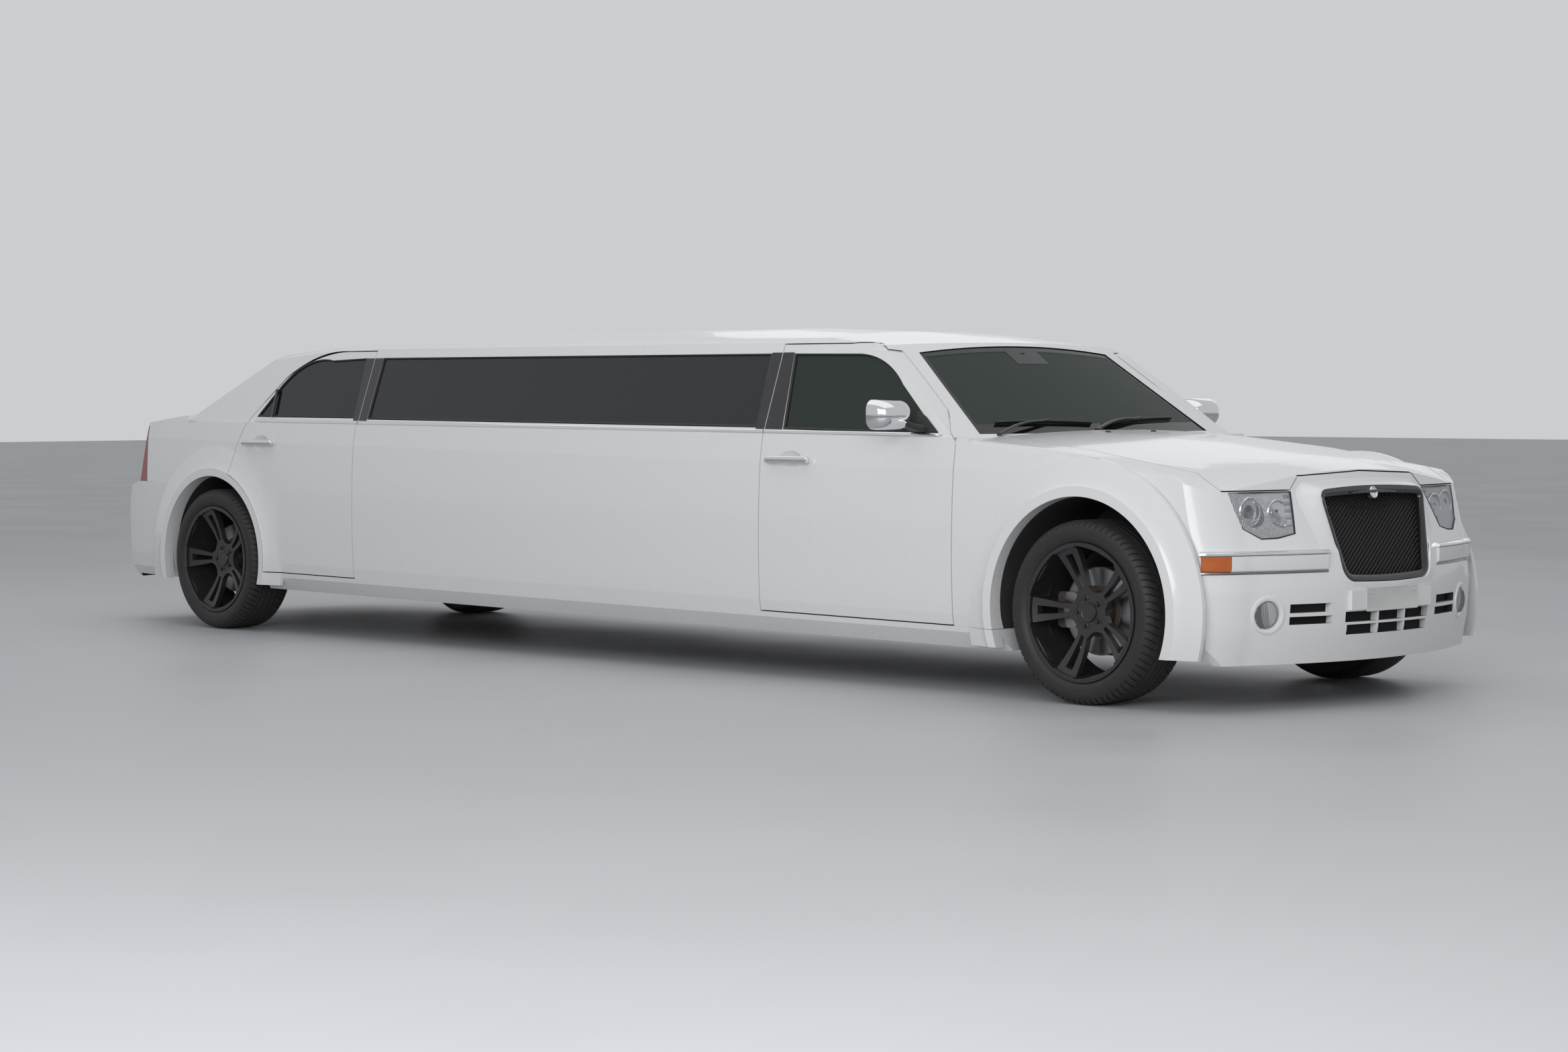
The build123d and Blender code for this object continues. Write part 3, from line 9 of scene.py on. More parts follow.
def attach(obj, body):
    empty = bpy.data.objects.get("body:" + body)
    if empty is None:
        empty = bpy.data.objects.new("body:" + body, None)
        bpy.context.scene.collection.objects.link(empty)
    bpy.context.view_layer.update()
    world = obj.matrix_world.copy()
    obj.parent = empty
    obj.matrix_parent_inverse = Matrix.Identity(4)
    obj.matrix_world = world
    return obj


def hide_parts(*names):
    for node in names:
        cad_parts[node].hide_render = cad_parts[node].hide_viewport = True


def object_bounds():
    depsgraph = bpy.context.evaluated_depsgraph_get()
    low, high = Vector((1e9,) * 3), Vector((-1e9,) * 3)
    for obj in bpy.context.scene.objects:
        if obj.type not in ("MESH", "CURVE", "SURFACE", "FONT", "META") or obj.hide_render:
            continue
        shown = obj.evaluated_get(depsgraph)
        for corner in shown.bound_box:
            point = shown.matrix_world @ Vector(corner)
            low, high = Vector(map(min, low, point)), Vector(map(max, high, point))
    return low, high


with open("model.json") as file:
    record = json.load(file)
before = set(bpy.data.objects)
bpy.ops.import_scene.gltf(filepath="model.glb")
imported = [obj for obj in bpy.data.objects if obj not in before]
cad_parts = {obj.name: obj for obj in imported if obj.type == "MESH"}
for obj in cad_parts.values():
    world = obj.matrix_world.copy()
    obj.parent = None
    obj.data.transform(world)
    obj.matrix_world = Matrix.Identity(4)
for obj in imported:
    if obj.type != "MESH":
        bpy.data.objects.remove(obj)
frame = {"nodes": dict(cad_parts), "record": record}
nodes = frame["nodes"]
cad_box = [list(corner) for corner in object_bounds()]
SIDES = (("right", -1), ("left", 1))

# Camera: a photographer's camera on the car's right, ahead of its nose and at the height of its bonnet. The lens
# is long, so the stretched middle keeps its real length against the wheels.
EYE = Vector((11.0445, -10.373, 1.204))
TURN, TILT, ROLL = 0.7953, 0.0414, -0.0015
LENS, SENSOR = 73.92, 36.0
camera_data = bpy.data.cameras.new("camera")
camera_data.lens, camera_data.sensor_width = LENS, SENSOR
camera = bpy.data.objects.new("camera", camera_data)
camera.matrix_world = (
    Matrix.Translation(EYE)
    @ Matrix.Rotation(TURN, 4, "Z")
    @ Matrix.Rotation(math.pi / 2 - TILT, 4, "X")
    @ Matrix.Rotation(ROLL, 4, "Z")
)
bpy.context.collection.objects.link(camera)
bpy.context.scene.camera = camera
bpy.context.scene.view_settings.view_transform = "Standard"


# Studio: a plain pale floor under a pale surround, lit by one long soft box over the car and two beside it. The
# surround shows its full brightness only to the camera, to gloss and through glass, so the paint gets less of it.
class Reading:
    """A number, colour or place read in a shader, so that sums on it are written as sums."""

    def __init__(self, tree, socket):
        self.tree = tree
        self.socket = socket

    def node(self, kind, settings=(), inputs=(), out=0):
        """Any node: its settings first, then the values or links of its sockets; gives one of its outputs."""
        made = self.tree.nodes.new(kind)
        for name, value in dict(settings).items():
            if name == "stops":
                for index, (position, shade) in enumerate(value):
                    stop = made.color_ramp.elements[index] if index < 2 else made.color_ramp.elements.new(position)
                    stop.position, stop.color = position, (*shade, 1.0)
            else:
                setattr(made, name, value)
        for name, value in dict(inputs).items():
            if isinstance(value, Reading):
                self.tree.links.new(value.socket, made.inputs[name])
            else:
                made.inputs[name].default_value = value
        return Reading(self.tree, made.outputs[out])

    def sum_of(self, operation, *values):
        return self.node("ShaderNodeMath", {"operation": operation}, enumerate(values))

    def __add__(self, other):
        return self.sum_of("ADD", self, other)

    def __radd__(self, other):
        return self.sum_of("ADD", other, self)

    def __sub__(self, other):
        return self.sum_of("SUBTRACT", self, other)

    def __rsub__(self, other):
        return self.sum_of("SUBTRACT", other, self)

    def __mul__(self, other):
        return self.sum_of("MULTIPLY", self, other)

    def __rmul__(self, other):
        return self.sum_of("MULTIPLY", other, self)

    def __truediv__(self, other):
        return self.sum_of("DIVIDE", self, other)

    def __abs__(self):
        return self.sum_of("ABSOLUTE", self)

    def __gt__(self, other):
        return self.sum_of("GREATER_THAN", self, other)

    def __lt__(self, other):
        return self.sum_of("LESS_THAN", self, other)

    def __mod__(self, other):
        return self.sum_of("MODULO", self, other)

    def least(self, other):
        """The smaller of this number and another."""
        return self.sum_of("MINIMUM", self, other)

    def most(self, other):
        """The larger of this number and another."""
        return self.sum_of("MAXIMUM", self, other)

    def sine(self):
        """The sine of this number, which makes ribs and flutes."""
        return self.sum_of("SINE", self)

    def axes(self):
        """The three numbers of a place."""
        owner = self.node("ShaderNodeSeparateXYZ", inputs={0: self}).socket.node
        return [Reading(self.tree, owner.outputs[axis]) for axis in range(3)]

    def noise(self, scale, detail=3.0):
        """Soft cloudy noise from 0 to 1 over this place."""
        return self.node("ShaderNodeTexNoise", inputs={"Vector": self, "Scale": scale, "Detail": detail}, out="Fac")

    def cells(self, scale):
        """The grain of leather or of a moulding over this place, as the distance from the edges of its cells."""
        inputs = {"Vector": self, "Scale": scale}
        return self.node("ShaderNodeTexVoronoi", {"feature": "DISTANCE_TO_EDGE"}, inputs, "Distance")

    def glancing(self, index):
        """How much a clear surface of a refractive index mirrors, from straight on to flat."""
        return self.node("ShaderNodeFresnel", inputs={"IOR": index})

    def blend(self, low, high):
        """A colour between two others, mixed by this number."""
        inputs = {"Factor": self, 6: low, 7: high}
        return self.node("ShaderNodeMix", {"data_type": "RGBA"}, inputs, out=2)

    def ramp(self, low, high, start=0.0, end=1.0):
        """This number carried from one range to another, held at its ends."""
        inputs = {"Value": self, "From Min": low, "From Max": high, "To Min": start, "To Max": end}
        return self.node("ShaderNodeMapRange", inputs=inputs)

    def bump(self, height, distance, strength=1.0):
        """A surface's normal, raised by a height."""
        inputs = {"Height": height, "Distance": distance, "Strength": strength}
        return self.node("ShaderNodeBump", inputs=inputs)


def seen(tree):
    """1 for what the camera, gloss and glass see and 0 for the light that falls on things."""
    path = tree.nodes.new("ShaderNodeLightPath").outputs
    by_camera, in_gloss, through_glass = [
        Reading(tree, path[name]) for name in ("Is Camera Ray", "Is Glossy Ray", "Is Transmission Ray")
    ]
    return (by_camera + in_gloss + through_glass).least(1.0)


SURROUND = (0.60, 0.61, 0.63, 1.0)
SURROUND_SEEN, SURROUND_LIGHT = 1.0, 0.62
world = bpy.data.worlds.new("surround")
world.use_nodes = True
bpy.context.scene.world = world
surround = world.node_tree.nodes["Background"]
surround.inputs["Color"].default_value = SURROUND
strength = seen(world.node_tree) * (SURROUND_SEEN - SURROUND_LIGHT) + SURROUND_LIGHT
world.node_tree.links.new(strength.socket, surround.inputs["Strength"])

# name, place, what it is turned to, size in metres, power in watts
SOFT_BOXES = (
    ("long_box", (0.0, -0.6, 5.2), (0.0, 0.0, 0.0), (12.0, 6.0), 110.0),
    ("near_box", (7.5, -9.0, 3.6), (0.6, -0.5, 0.7), (8.0, 4.0), 430.0),
    ("far_box", (-4.0, 8.5, 4.2), (0.0, 0.0, 0.8), (8.0, 3.0), 30.0),
)
for name, place, aim, size, power in SOFT_BOXES:
    data = bpy.data.lights.new(name, "AREA")
    data.shape = "RECTANGLE"
    data.size, data.size_y = size
    data.energy = power
    lamp = bpy.data.objects.new(name, data)
    lamp.location = place
    lamp.rotation_euler = (Vector(aim) - Vector(place)).to_track_quat("-Z", "Y").to_euler()
    bpy.context.collection.objects.link(lamp)


def finish(name):
    """A new material: gives it, its surface shader and the place on the piece."""
    made = bpy.data.materials.new(name)
    made.use_nodes = True
    tree = made.node_tree
    return made, tree.nodes["Principled BSDF"], Reading(tree, tree.nodes.new("ShaderNodeTexCoord").outputs["Object"])


def feed(surface, values):
    """Values or readings for a surface shader's sockets."""
    for name, value in values.items():
        if isinstance(value, Reading):
            value.tree.links.new(value.socket, surface.inputs[name])
        else:
            surface.inputs[name].default_value = value


floor_paint, surface, place = finish("floor_paint")
wear = place.noise(0.8)
feed(surface, {
    "Base Color": wear.blend((0.50, 0.51, 0.53, 1), (0.56, 0.57, 0.59, 1)),
    "Roughness": wear.ramp(0.3, 0.7, 0.42, 0.55),
})
FLOOR_REACH, FLOOR_Z = 60.0, -0.001
floor_mesh = bpy.data.meshes.new("floor")
corners = [(sx * FLOOR_REACH, sy * FLOOR_REACH, FLOOR_Z) for sx, sy in ((-1, -1), (1, -1), (1, 1), (-1, 1))]
floor_mesh.from_pydata(corners, [], [(0, 1, 2, 3)])
floor_mesh.materials.append(floor_paint)
floor = bpy.data.objects.new("floor", floor_mesh)
bpy.context.collection.objects.link(floor)


# Painted panels: pressed steel in solid white under a clear lacquer, hung or welded on the shell, with soft
# bumpers painted to match. Each is its own pressing; what faces the cabin is lined with dark moulded trim.
PAINT = (0.80, 0.81, 0.815, 1)
white_paint, surface, place = finish("white_paint")
peel, film = place.noise(420.0, 1.0), place.noise(2.2, 4.0)
height = place.axes()[2]
# Painted shade: the white is darkened towards grey in soft patches low on the body, below the lower crease, more
# towards the bottom.
painted_low_shade = height.ramp(0.20, 0.42, 0.5, 0.0) * film
feed(surface, {
    "Base Color": painted_low_shade.blend(PAINT, (0.60, 0.60, 0.59, 1)),
    "Roughness": film.ramp(0.3, 0.7, 0.27, 0.28),
    "Coat Weight": film.ramp(0.3, 0.7, 0.52, 0.50),
    "Coat Roughness": 0.06,
    "Normal": place.bump(peel, 0.00005, 0.10),
})

lining, surface, place = finish("moulded_lining")
grain, mottle = place.cells(450.0), place.noise(9.0)
feed(surface, {
    "Base Color": mottle.blend((0.045, 0.045, 0.048, 1), (0.065, 0.064, 0.066, 1)),
    "Roughness": mottle.ramp(0.3, 0.7, 0.52, 0.64),
    "Normal": place.bump(grain, 0.0006, 0.5),
})

body_of = {node: body for body, held in frame["record"]["behaviour"]["bodies"].items() for node in held}


def placed(name, mesh, body, materials=()):
    """A finished mesh as a piece that rides on a body."""
    for material in materials:
        mesh.materials.append(material)
    piece = bpy.data.objects.new(name, mesh)
    bpy.context.collection.objects.link(piece)
    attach(piece, body)
    return piece


def opened(mesh):
    """A mesh as a bmesh that can be worked on."""
    shell = bmesh.new()
    shell.from_mesh(mesh)
    return shell


def kept(shell, name):
    """A worked bmesh as a mesh."""
    mesh = bpy.data.meshes.new(name)
    shell.to_mesh(mesh)
    shell.free()
    return mesh


SHARP, ONE_POINT = math.radians(27), 0.00002
AXIS_BACK, AXIS_FRONT, AXIS_Z = -3.1, 2.9, 0.72
FRONT_AXLE, REAR_AXLE = 3.0205, -2.7705
SHOULDER_Z, SHOULDER_CLIMB = 0.888, 0.0131
CREASE_Z, CLIMB = 0.315, 0.0073
ON_LINE, BODY_SIDE, FLARE_Y, FACES_BACK = 0.0012, 0.7, 0.885, -0.35


def climb(height, x, slope=CLIMB):
    """The height of a long body line at a distance along the car; the lines rise towards the back."""
    return height + slope * (FRONT_AXLE - x)


def outward(point):
    """From the middle line of the car to a point, as a direction."""
    middle = min(max(point.x, AXIS_BACK), AXIS_FRONT)
    return (point - Vector((middle, 0.0, AXIS_Z))).normalized()


def on_crease(point):
    """True on the shoulder line or on the crease above the sill."""
    on_shoulder = abs(point.z - climb(SHOULDER_Z, point.x, SHOULDER_CLIMB)) < ON_LINE
    return abs(point.y) > BODY_SIDE and (on_shoulder or abs(point.z - climb(CREASE_Z, point.x)) < ON_LINE)


def merged(node):
    """A copy of a CAD node's mesh with its doubled points merged."""
    shell = opened(nodes[node].data)
    bmesh.ops.remove_doubles(shell, verts=shell.verts, dist=ONE_POINT)
    return shell


def shaded(shell, name):
    """A smooth mesh from a bmesh, with its folds and the car's crease lines kept sharp."""
    for face in shell.faces:
        face.smooth = True
    for edge in shell.edges:
        fold = edge.calc_face_angle(math.pi) if len(edge.link_faces) == 2 else math.pi
        edge.smooth = fold < SHARP and not all(on_crease(vert.co) for vert in edge.verts)
    return kept(shell, name)


def formed(name, shell, body, finish_slot, *materials):
    """A finished piece from a bmesh."""
    return placed(name, shaded(shell, name), body, materials)


def stand_in(node, how, shell, finish_slot, *materials):
    """A piece that stands for a CAD node on the node's own body, named for the node and for how it is made."""
    piece = formed(f"{node}.{how}", shell, body_of[node], finish_slot, *materials)
    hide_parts(node)


def parted(shell, test):
    """Gives the second material to the faces that pass a test."""
    shell.normal_update()
    for face in shell.faces:
        face.material_index = int(test(face))
    return shell


def inner_side(face):
    """True for a face that looks back at the car's middle line; outside the flares' line all faces are painted."""
    middle = face.calc_center_median()
    return abs(middle.y) < FLARE_Y and face.normal.dot(outward(middle)) < FACES_BACK


def pressed_panel(node, inside=lining):
    """A body panel in white paint, lined on its inner side, which stands for its CAD node."""
    stand_in(node, "pressed", parted(merged(node), inner_side), "paint", white_paint, inside)


headliner, surface, place = finish("headliner")
knit = place.noise(500.0, 2.0)
feed(surface, {
    "Base Color": knit.blend((0.36, 0.35, 0.33, 1), (0.50, 0.49, 0.47, 1)),
    "Roughness": 0.92,
    "Normal": place.bump(knit, 0.0008, 0.5),
})
pressed_panel("roof", headliner)
for node in ("bonnet", "boot_lid", "windscreen_frame", "side_panels", "sills", "front_fenders",
             "quarter_panels", "rear_bumper"):
    pressed_panel(node)
PLATE_FACE, PLATE_HALF, PLATE_LOW, PLATE_HIGH = FRONT_AXLE + 0.8006, 0.270, 0.355, 0.465
bumper = merged("front_bumper")
for vert in bumper.verts:
    if abs(vert.co.y) < PLATE_HALF and PLATE_LOW < vert.co.z < PLATE_HIGH:
        vert.co.x = min(vert.co.x, PLATE_FACE)
stand_in("front_bumper", "pressed", parted(bumper, inner_side), "paint", white_paint, lining)


# Doors: pressed shells hung at their front edges, painted with the body. Behind each pull handle a round dish is
# pressed into the skin for the fingers.
DISH_LONG, DISH_DEEP, DISH_TALL = 0.066, 0.013, 0.040
HANDLES = {"front": (FRONT_AXLE - 1.598, 0.924), "rear": (FRONT_AXLE - 5.400, 0.957)}
SKIN_Y = 0.9045


def solid_dish(x, y, z):
    """The ball that presses a dish into a door's skin."""
    ball = bmesh.new()
    bmesh.ops.create_uvsphere(ball, u_segments=40, v_segments=24, radius=1.0)
    for vert in ball.verts:
        vert.co = (x + vert.co.x * DISH_LONG, y + vert.co.y * DISH_DEEP, z + vert.co.z * DISH_TALL)
    return kept(ball, "dish")


def worked(mesh, *modifiers):
    """A mesh after modifiers, each given as its kind and settings; the modifiers are gone afterwards."""
    worker = bpy.data.objects.new("worker", mesh)
    bpy.context.collection.objects.link(worker)
    for kind, settings in modifiers:
        modifier = worker.modifiers.new(kind.lower(), kind)
        for name, value in settings.items():
            setattr(modifier, name, value)
    result = bpy.data.meshes.new_from_object(worker.evaluated_get(bpy.context.evaluated_depsgraph_get()))
    bpy.data.objects.remove(worker)
    return result


for end, (handle_x, handle_z) in HANDLES.items():
    for name, side in SIDES:
        node = f"{end}_door_{name}"
        dish = bpy.data.objects.new("dish", solid_dish(handle_x, side * SKIN_Y, handle_z))
        bpy.context.collection.objects.link(dish)
        whole = kept(merged(node), node)
        door = worked(whole, ("BOOLEAN", {"object": dish, "operation": "DIFFERENCE", "solver": "EXACT"}))
        bpy.data.objects.remove(dish)
        stand_in(node, "pressed", parted(opened(door), inner_side), "paint", white_paint, lining)


# Glass: flat toughened panes in the doors and the centre section, laminated bent screens in front and behind. The
# centre and rear panes are nearly black, the front ones faintly green. The screens have a printed black band.
PRINTED = (0.008, 0.008, 0.009, 1)


def pane_finish(name, tint, body_alpha, band=None):
    """Tinted glass, clearer where it is looked at straight and mirror-like where it is looked at flat."""
    made, surface, place = finish(name)
    y, z = place.axes()[1:]
    smear = place.noise(3.0, 4.0)
    alpha = (place.glancing(1.5) * (1 - body_alpha) + body_alpha).least(1.0)
    color = smear.blend((*[part * 0.92 for part in tint], 1), (*tint, 1))
    if band:
        printed = band(abs(y), z)
        alpha = alpha.most(printed)
        color = printed.blend(color, PRINTED)
    feed(surface, {
        "Base Color": color,
        "Roughness": smear.ramp(0.3, 0.75, 0.012, 0.045),
        "Alpha": alpha,
        "Specular IOR Level": 0.6,
    })
    return made


SCREEN_FOOT, SCREEN_TOP, BAND = (0.735, 1.036), (0.600, 1.370), 0.026
SCREEN_NARROWS = (SCREEN_FOOT[0] - SCREEN_TOP[0]) / (SCREEN_TOP[1] - SCREEN_FOOT[1])
MIRROR_PATCH, MIRROR_PATCH_FOOT = 0.10, 1.325
BACKLIGHT_SIDE, BACKLIGHT_FOOT, BACKLIGHT_NARROWS = 0.640, 1.130, 0.341


def screen_band(y, z):
    """The printed band round the windscreen, wider at its foot and behind the mirror."""
    from_side = y * -1 + (SCREEN_FOOT[0] + SCREEN_FOOT[1] * SCREEN_NARROWS) - z * SCREEN_NARROWS
    from_foot = z - SCREEN_FOOT[1] - 0.014
    from_top = 1.393 - y * y * 0.075 - z
    nearest = from_side.least(from_foot.least(from_top * 1.6))
    return nearest.ramp(BAND - 0.004, BAND + 0.001, 1.0, 0.0).most((y < MIRROR_PATCH) * (z > MIRROR_PATCH_FOOT))


def backlight_band(y, z):
    """The printed band round the rear window."""
    from_side = y * -1 + (BACKLIGHT_SIDE + BACKLIGHT_FOOT * BACKLIGHT_NARROWS) - z * BACKLIGHT_NARROWS
    from_top = 1.405 - y * y * 0.08 - z
    return from_side.least((z - BACKLIGHT_FOOT).least(from_top)).ramp(0.022, 0.027, 1.0, 0.0)


def coated(node, material):
    """Gives a CAD node its finish."""
    nodes[node].data.materials.clear()
    nodes[node].data.materials.append(material)


SMOKED = (0.012, 0.013, 0.015)
screen_glass = pane_finish("screen_glass", (0.10, 0.13, 0.115), 0.14, screen_band)
door_glass = pane_finish("door_glass", (0.06, 0.08, 0.07), 0.30)
privacy_glass = pane_finish("privacy_glass", SMOKED, 0.93)
backlight_glass = pane_finish("backlight_glass", SMOKED, 0.93, backlight_band)
PANES = {
    "windscreen": screen_glass, "rear_window": backlight_glass, "mid_windows": privacy_glass,
    "front_glass_right": door_glass, "front_glass_left": door_glass,
    "rear_glass_right": privacy_glass, "rear_glass_left": privacy_glass,
}
for node, glass in PANES.items():
    coated(node, glass)


# Window seals: extruded black rubber beads that hold each side pane in its opening. Each is one closed ring, mitred
# at the pane's corners.
rubber, surface, place = finish("seal_rubber")
bloom = place.noise(35.0, 4.0)
feed(surface, {
    "Base Color": bloom.blend((0.012, 0.012, 0.012, 1), (0.022, 0.022, 0.022, 1)),
    "Roughness": bloom.ramp(0.3, 0.7, 0.45, 0.60),
    "Normal": place.bump(place.noise(900.0, 2.0), 0.0002, 0.4),
})

SIDE_Y, SIDE_Z, LEAN = 0.889, 1.021, 0.345
LEAN_OUT = Vector((0.0, 1.0, LEAN)).normalized()


def on_side(x, z, out, side):
    """A point of the leaning plane of the side windows, so far out from it."""
    return Vector((x, side * (SIDE_Y - LEAN * (z - SIDE_Z) + out * LEAN_OUT.y), z + out * LEAN_OUT.z))


def turned_out(side):
    """Outwards from the leaning side, on one side of the car."""
    return Vector((0.0, side * LEAN_OUT.y, LEAN_OUT.z))


def ringed(rings, closed=False, ends=True):
    """Rings of points skinned one to the next, and closed by flat ends or, where they run round, by themselves."""
    shell = bmesh.new()
    loops = [[shell.verts.new(point) for point in ring] for ring in rings]
    count = len(loops[0])
    for here, there in zip(loops, loops[1:] + loops[:1] * closed):
        for k in range(count):
            shell.faces.new((here[k], here[(k + 1) % count], there[(k + 1) % count], there[k]))
    if ends and not closed:
        shell.faces.new(reversed(loops[0]))
        shell.faces.new(loops[-1])
    bmesh.ops.recalc_face_normals(shell, faces=shell.faces)
    return shell


def slab(low, high):
    """A block between two like outlines, its ends first and not yet turned outwards: bevel and cloth rest on that."""
    shell = bmesh.new()
    ends = [[shell.verts.new(point) for point in outline] for outline in (low, high)]
    for end in ends:
        shell.faces.new(end)
    for k in range(len(low)):
        turn = (k + 1) % len(low)
        shell.faces.new((ends[0][k], ends[0][turn], ends[1][turn], ends[1][k]))
    return shell


def swept(path, section, closed=False):
    """A bar through a path of points, each with its outward and upward directions and a scale, from a section."""
    return ringed([[point + out * (a * scale) + up * (b * scale) for a, b in section]
                   for point, out, up, scale in path], closed)


def straight(section, out, up, points):
    """A bar of one section through points, with its outward and upward directions."""
    return swept([(Vector(point), out, up, 1.0) for point in points], section)


def joined(shells):
    """Several bmeshes as one."""
    whole = bmesh.new()
    for shell in shells:
        whole.from_mesh(kept(shell, "part"))
    return whole


def rim_of(node, side):
    """The outline of a flat pane's outer face, in order, on one side of the car."""
    pane = merged(node)
    pane.normal_update()
    outer = {face for face in pane.faces if face.normal.y * side > 0.8 and face.calc_center_median().y * side > 0}
    follows = {}
    for face in outer:
        for loop in face.loops:
            others = [other for other in loop.edge.link_faces if other is not face]
            if not all(other in outer for other in others):
                follows[loop.vert.index] = (loop.link_loop_next.vert.index, loop.vert.co.copy())
    start = here = next(iter(follows))
    line = []
    while True:
        line.append(follows[here][1])
        here = follows[here][0]
        if here == start:
            break
    pane.free()
    return line


SEAL_BEAD = [(-0.001, -0.010), (0.006, -0.009), (0.0085, -0.005), (0.0085, 0.0), (-0.001, 0.0)]


def seal(node, side):
    """The bead round one pane, standing on its outer face."""
    line, out = rim_of(node, side), turned_out(side)
    middle = sum(line, Vector()) / len(line)
    path = []
    for before, point, after in zip(line[-1:] + line[:-1], line, line[1:] + line[:1]):
        legs = [(point - before).normalized(), (after - point).normalized()]
        away = [leg.cross(out).normalized() for leg in legs]
        away = [way if way.dot(point - middle) > 0 else -way for way in away]
        mitre = away[0] + away[1]
        path.append((point, out, mitre / max(mitre.length_squared / 2, 0.3), 1.0))
    return swept(path, SEAL_BEAD, closed=True)


for end in ("front", "rear"):
    for name, side in SIDES:
        node = f"{end}_glass_{name}"
        formed(f"{node}.seal", seal(node, side), f"{end}_door_{name}", "trim", rubber)
formed("mid_windows.seal", joined([seal("mid_windows", side) for name, side in SIDES]), "body", "trim", rubber)


# Pillar covers: gloss black mouldings clipped over the pillars between the side panes, so that the glass reads as
# one band from end to end.
gloss_black, surface, place = finish("gloss_black")
swirl = place.noise(14.0, 4.0)
feed(surface, {
    "Base Color": swirl.blend((0.010, 0.010, 0.011, 1), (0.016, 0.016, 0.018, 1)),
    "Roughness": swirl.ramp(0.3, 0.7, 0.10, 0.19),
    "Coat Weight": 0.5,
    "Normal": place.bump(place.noise(300.0, 1.0), 0.0001, 0.2),
})
BELT_Z = 1.018
COVER_FOOT, COVER_TOP, COVER_THICK, COVER_EDGE = BELT_Z + 0.019, 1.3745, 0.0022, 0.0008


def cover(front_foot, back_foot, front_top, back_top, side):
    """A thin plate on the leaning side, from stations behind the front axle, with a folded edge."""
    corners = [(front_foot, climb(COVER_FOOT, FRONT_AXLE + front_foot)),
               (back_foot, climb(COVER_FOOT, FRONT_AXLE + back_foot)), (back_top, COVER_TOP), (front_top, COVER_TOP)]
    return ringed([[on_side(FRONT_AXLE + x, z, out, side) for x, z in corners] for out in (0.0002, COVER_THICK)])


# body that it rides on, and its stations: front and back of its foot, front and back of its top
COVERS = (
    ("front_door", (-1.6690, -1.7730, -1.7060, -1.7730)),
    ("body", (-1.7790, -1.8310, -1.7790, -1.8410)),
    ("body", (-4.5610, -4.6210, -4.5610, -4.6210)),
    ("rear_door", (-4.6270, -4.6680, -4.6270, -4.6920)),
)
for index, (body, stations) in enumerate(COVERS):
    for name, side in SIDES:
        rides = body if body == "body" else f"{body}_{name}"
        mesh = shaded(cover(*stations, side), "pillar_cover")
        mesh = worked(mesh, ("BEVEL", {"width": COVER_EDGE, "segments": 2, "limit_method": "ANGLE"}))
        placed(f"pillar_cover_{index}_{name}", mesh, rides, (gloss_black,))


# Belt mouldings: bright rolled strips along the foot of the side glass, one on each door and one on the centre
# section. Their outer ends are drawn out to a rounded tip.
bright, surface, place = finish("bright_chrome")
haze = place.noise(18.0, 4.0)
feed(surface, {
    "Base Color": haze.blend((0.72, 0.73, 0.75, 1), (0.80, 0.80, 0.81, 1)),
    "Metallic": 1.0,
    "Roughness": haze.ramp(0.3, 0.75, 0.05, 0.14),
})
STRIP_HALF, STRIP_THICK, STRIP_ABOVE = 0.0085, 0.0065, 0.0095
STRIP_SECTION = [(out * STRIP_THICK, up * STRIP_HALF) for out, up in (
    (-0.001, -1.0), (0.45, -1.0), (0.85, -0.75), (1.0, -0.3), (1.0, 0.3), (0.85, 0.75), (0.45, 1.0), (-0.001, 1.0))]
TIP, TIP_STEPS = 0.045, (0.0, 0.02, 0.08, 0.2, 0.4, 0.7, 1.0)


def belt_strip(front, back, tips, side):
    """A strip between two stations, with a rounded tip at the ends that are named."""
    steps = [front + (back - front) * k / 24 for k in range(25)]
    if "front" in tips:
        steps = [front - TIP * t for t in TIP_STEPS] + [s for s in steps if s < front - TIP]
    if "back" in tips:
        steps = [s for s in steps if s > back + TIP] + [back + TIP * t for t in reversed(TIP_STEPS)]
    path = []
    for station in steps:
        from_tips = [front - station] * ("front" in tips) + [station - back] * ("back" in tips)
        scale = min([1.0] + [math.sqrt(min(reach / TIP, 1.0)) + 0.02 for reach in from_tips])
        spot = on_side(FRONT_AXLE + station, climb(BELT_Z, FRONT_AXLE + station) + STRIP_ABOVE, 0.0, side)
        path.append((spot, turned_out(side), Vector((0.0, -side * LEAN, 1.0)).normalized(), scale))
    return swept(path, STRIP_SECTION)


# body, station of its front end, station of its back end, ends with a tip
STRIPS = (("front_door", -0.738, -1.7735, ("front",)), ("body", -1.7785, -4.6215, ()),
          ("rear_door", -4.6265, -5.492, ("back",)))
for body, front, back, tips in STRIPS:
    for name, side in SIDES:
        rides = body if body == "body" else f"{body}_{name}"
        formed(f"belt_strip_{body}_{name}", belt_strip(front, back, tips, side), rides, "chrome", bright)


# Door handles: cast pull bars with bright plating and rounded ends, bowed a little outwards. Each stands on two
# feet that pass through the door's skin.
def rounded(half_out, half_up, corner, steps=4):
    """A rounded rectangle as a section, given as distances out and up."""
    points = []
    for quarter, (so, su) in enumerate(((1, 1), (-1, 1), (-1, -1), (1, -1))):
        for k in range(steps + 1):
            angle = math.pi / 2 * (quarter + k / steps)
            points.append((so * (half_out - corner) + corner * math.cos(angle),
                           su * (half_up - corner) + corner * math.sin(angle)))
    return points


